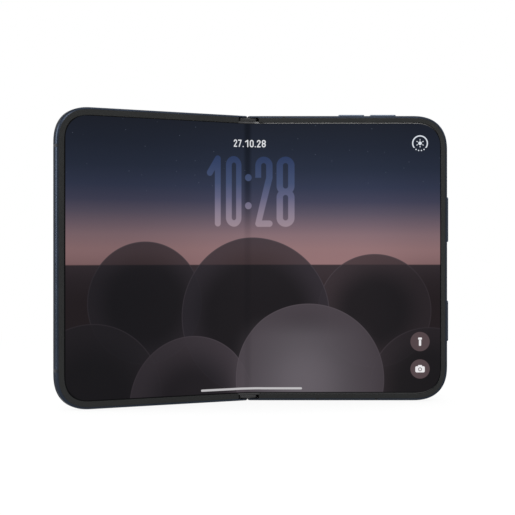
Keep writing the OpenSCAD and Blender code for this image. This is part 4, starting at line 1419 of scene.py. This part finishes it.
KEPT_NODES = {
    "plate": ["main_backing_plate", "cover_backing_plate", "board_shields", "main_wing_plate",
              "cover_wing_plate", "spine_base"],
    "steel": ["main_hinge_arms", "cover_hinge_arms", "main_idler_gears", "cover_idler_gears",
              "hinge_shafts", "idler_shafts", "disc_springs", "board_screws", "main_arm_screws",
              "cover_arm_screws"],
    "bright": ["button_switches", "main_magnets", "cover_magnets", "vibration_motor"],
    "pouch": ["main_battery", "cover_battery"],
    "copper": ["friction_washers"],
    "module": ["wide_camera", "ultrawide_camera", "selfie_camera", "main_speaker", "cover_speaker"],
    "outer_glass": ["cover_screen_panel"],
    "board": ["logic_board", "sub_board"],
    "flash": ["flash_window"],
}


def dress_kept_nodes():
    for material, nodes in KEPT_NODES.items():
        for name in nodes:
            for place in frame["nodes"][name].material_slots:
                place.material = MATERIALS[material]


# ---- Stage and light ----

FLOOR_SIZE = 4.0
FLOOR_Z = -0.00003
WORLD_LIGHT = 0.55
LAMP_TARGET = (0, 0, 0.06)
LAMPS = [
    # name, place, power, size
    ("key", (-0.5, -0.7, 1.0), 2.0, 0.6),
    ("front", (0.08, -0.85, 0.85), 5.0, 0.4),
    ("left_rim", (-0.97, -0.1, 0.34), 8.5, 0.6),
    ("right_rim", (0.8, 0.45, 0.7), 3.0, 0.5),
    ("top", (0.1, 0.3, 1.1), 3.0, 0.7),
]


def seen_by(tree, *rays):
    """1 for rays of the named kinds, 0 for the others."""
    path = add_node(tree, "LightPath", {})
    seen = [Value(tree, path.outputs[f"Is {ray} Ray"]) for ray in rays]
    return functools.reduce(Value.most, seen)


def split_surface(tree, seen, unseen_shader, seen_shader, output):
    """Shows one shader where seen is 1, and the other where it is 0."""
    either = add_node(tree, "MixShader", {
        0: seen, 1: unseen_shader.outputs[0], 2: seen_shader.outputs[0]})
    fill(tree, tree.nodes[output], {"Surface": either.outputs[0]})


def make_floor():
    """Pale floor that is as white as the background and keeps the shadow near the phone."""
    mesh = bpy.data.meshes.new("floor")
    with edited(mesh) as work:
        bmesh.ops.create_grid(work, x_segments=8, y_segments=8, size=FLOOR_SIZE)
    floor = in_scene("floor", mesh)
    floor.location.z = FLOOR_Z
    material, tree, shader = new_material("pale_floor")
    fill(tree, shader, {
        "Base Color": linear((243, 243, 243)), "Roughness": 0.9, "Specular IOR Level": 0.0})
    x, y, _ = parted(tree, object_place(tree))
    away = from_disc(x, y, (0, 0), 0)
    seen = seen_by(tree, "Camera", "Glossy") * away.rise(0.03, 0.45, 0.86, 1.0)
    split_surface(tree, seen, shader, add_node(tree, "Emission", {}), "Material Output")
    mesh.materials.append(material)


def make_world():
    world = bpy.data.worlds.new("studio")
    bpy.context.scene.world = world
    world.use_nodes = True
    tree = world.node_tree
    soft = tree.nodes["Background"]
    fill(tree, soft, {"Color": (1, 1, 1, 1), "Strength": WORLD_LIGHT})
    white = add_node(tree, "Background", {"Color": (1, 1, 1, 1), "Strength": 1.0})
    split_surface(tree, seen_by(tree, "Camera", "Glossy", "Transmission"), soft, white,
                  "World Output")


def make_lamp(name, place, power, size):
    data = bpy.data.lights.new(name, "AREA")
    data.energy = power
    data.size = size
    lamp = in_scene(name, data)
    lamp.location = place
    aim = Vector(LAMP_TARGET) - Vector(place)
    lamp.rotation_euler = aim.to_track_quat("-Z", "Y").to_euler()


def make_light():
    make_world()
    for lamp in LAMPS:
        make_lamp(*lamp)
    bpy.context.scene.view_settings.view_transform = "Standard"


# ---- Build ----

make_main_frame()
make_cover_frame()
make_bands()
make_bezels()
make_back_panels()
make_screens()
make_flexes()
make_keys()
make_camera_block()
make_optics()
make_port()
make_spine()
dress_kept_nodes()
make_floor()
make_light()
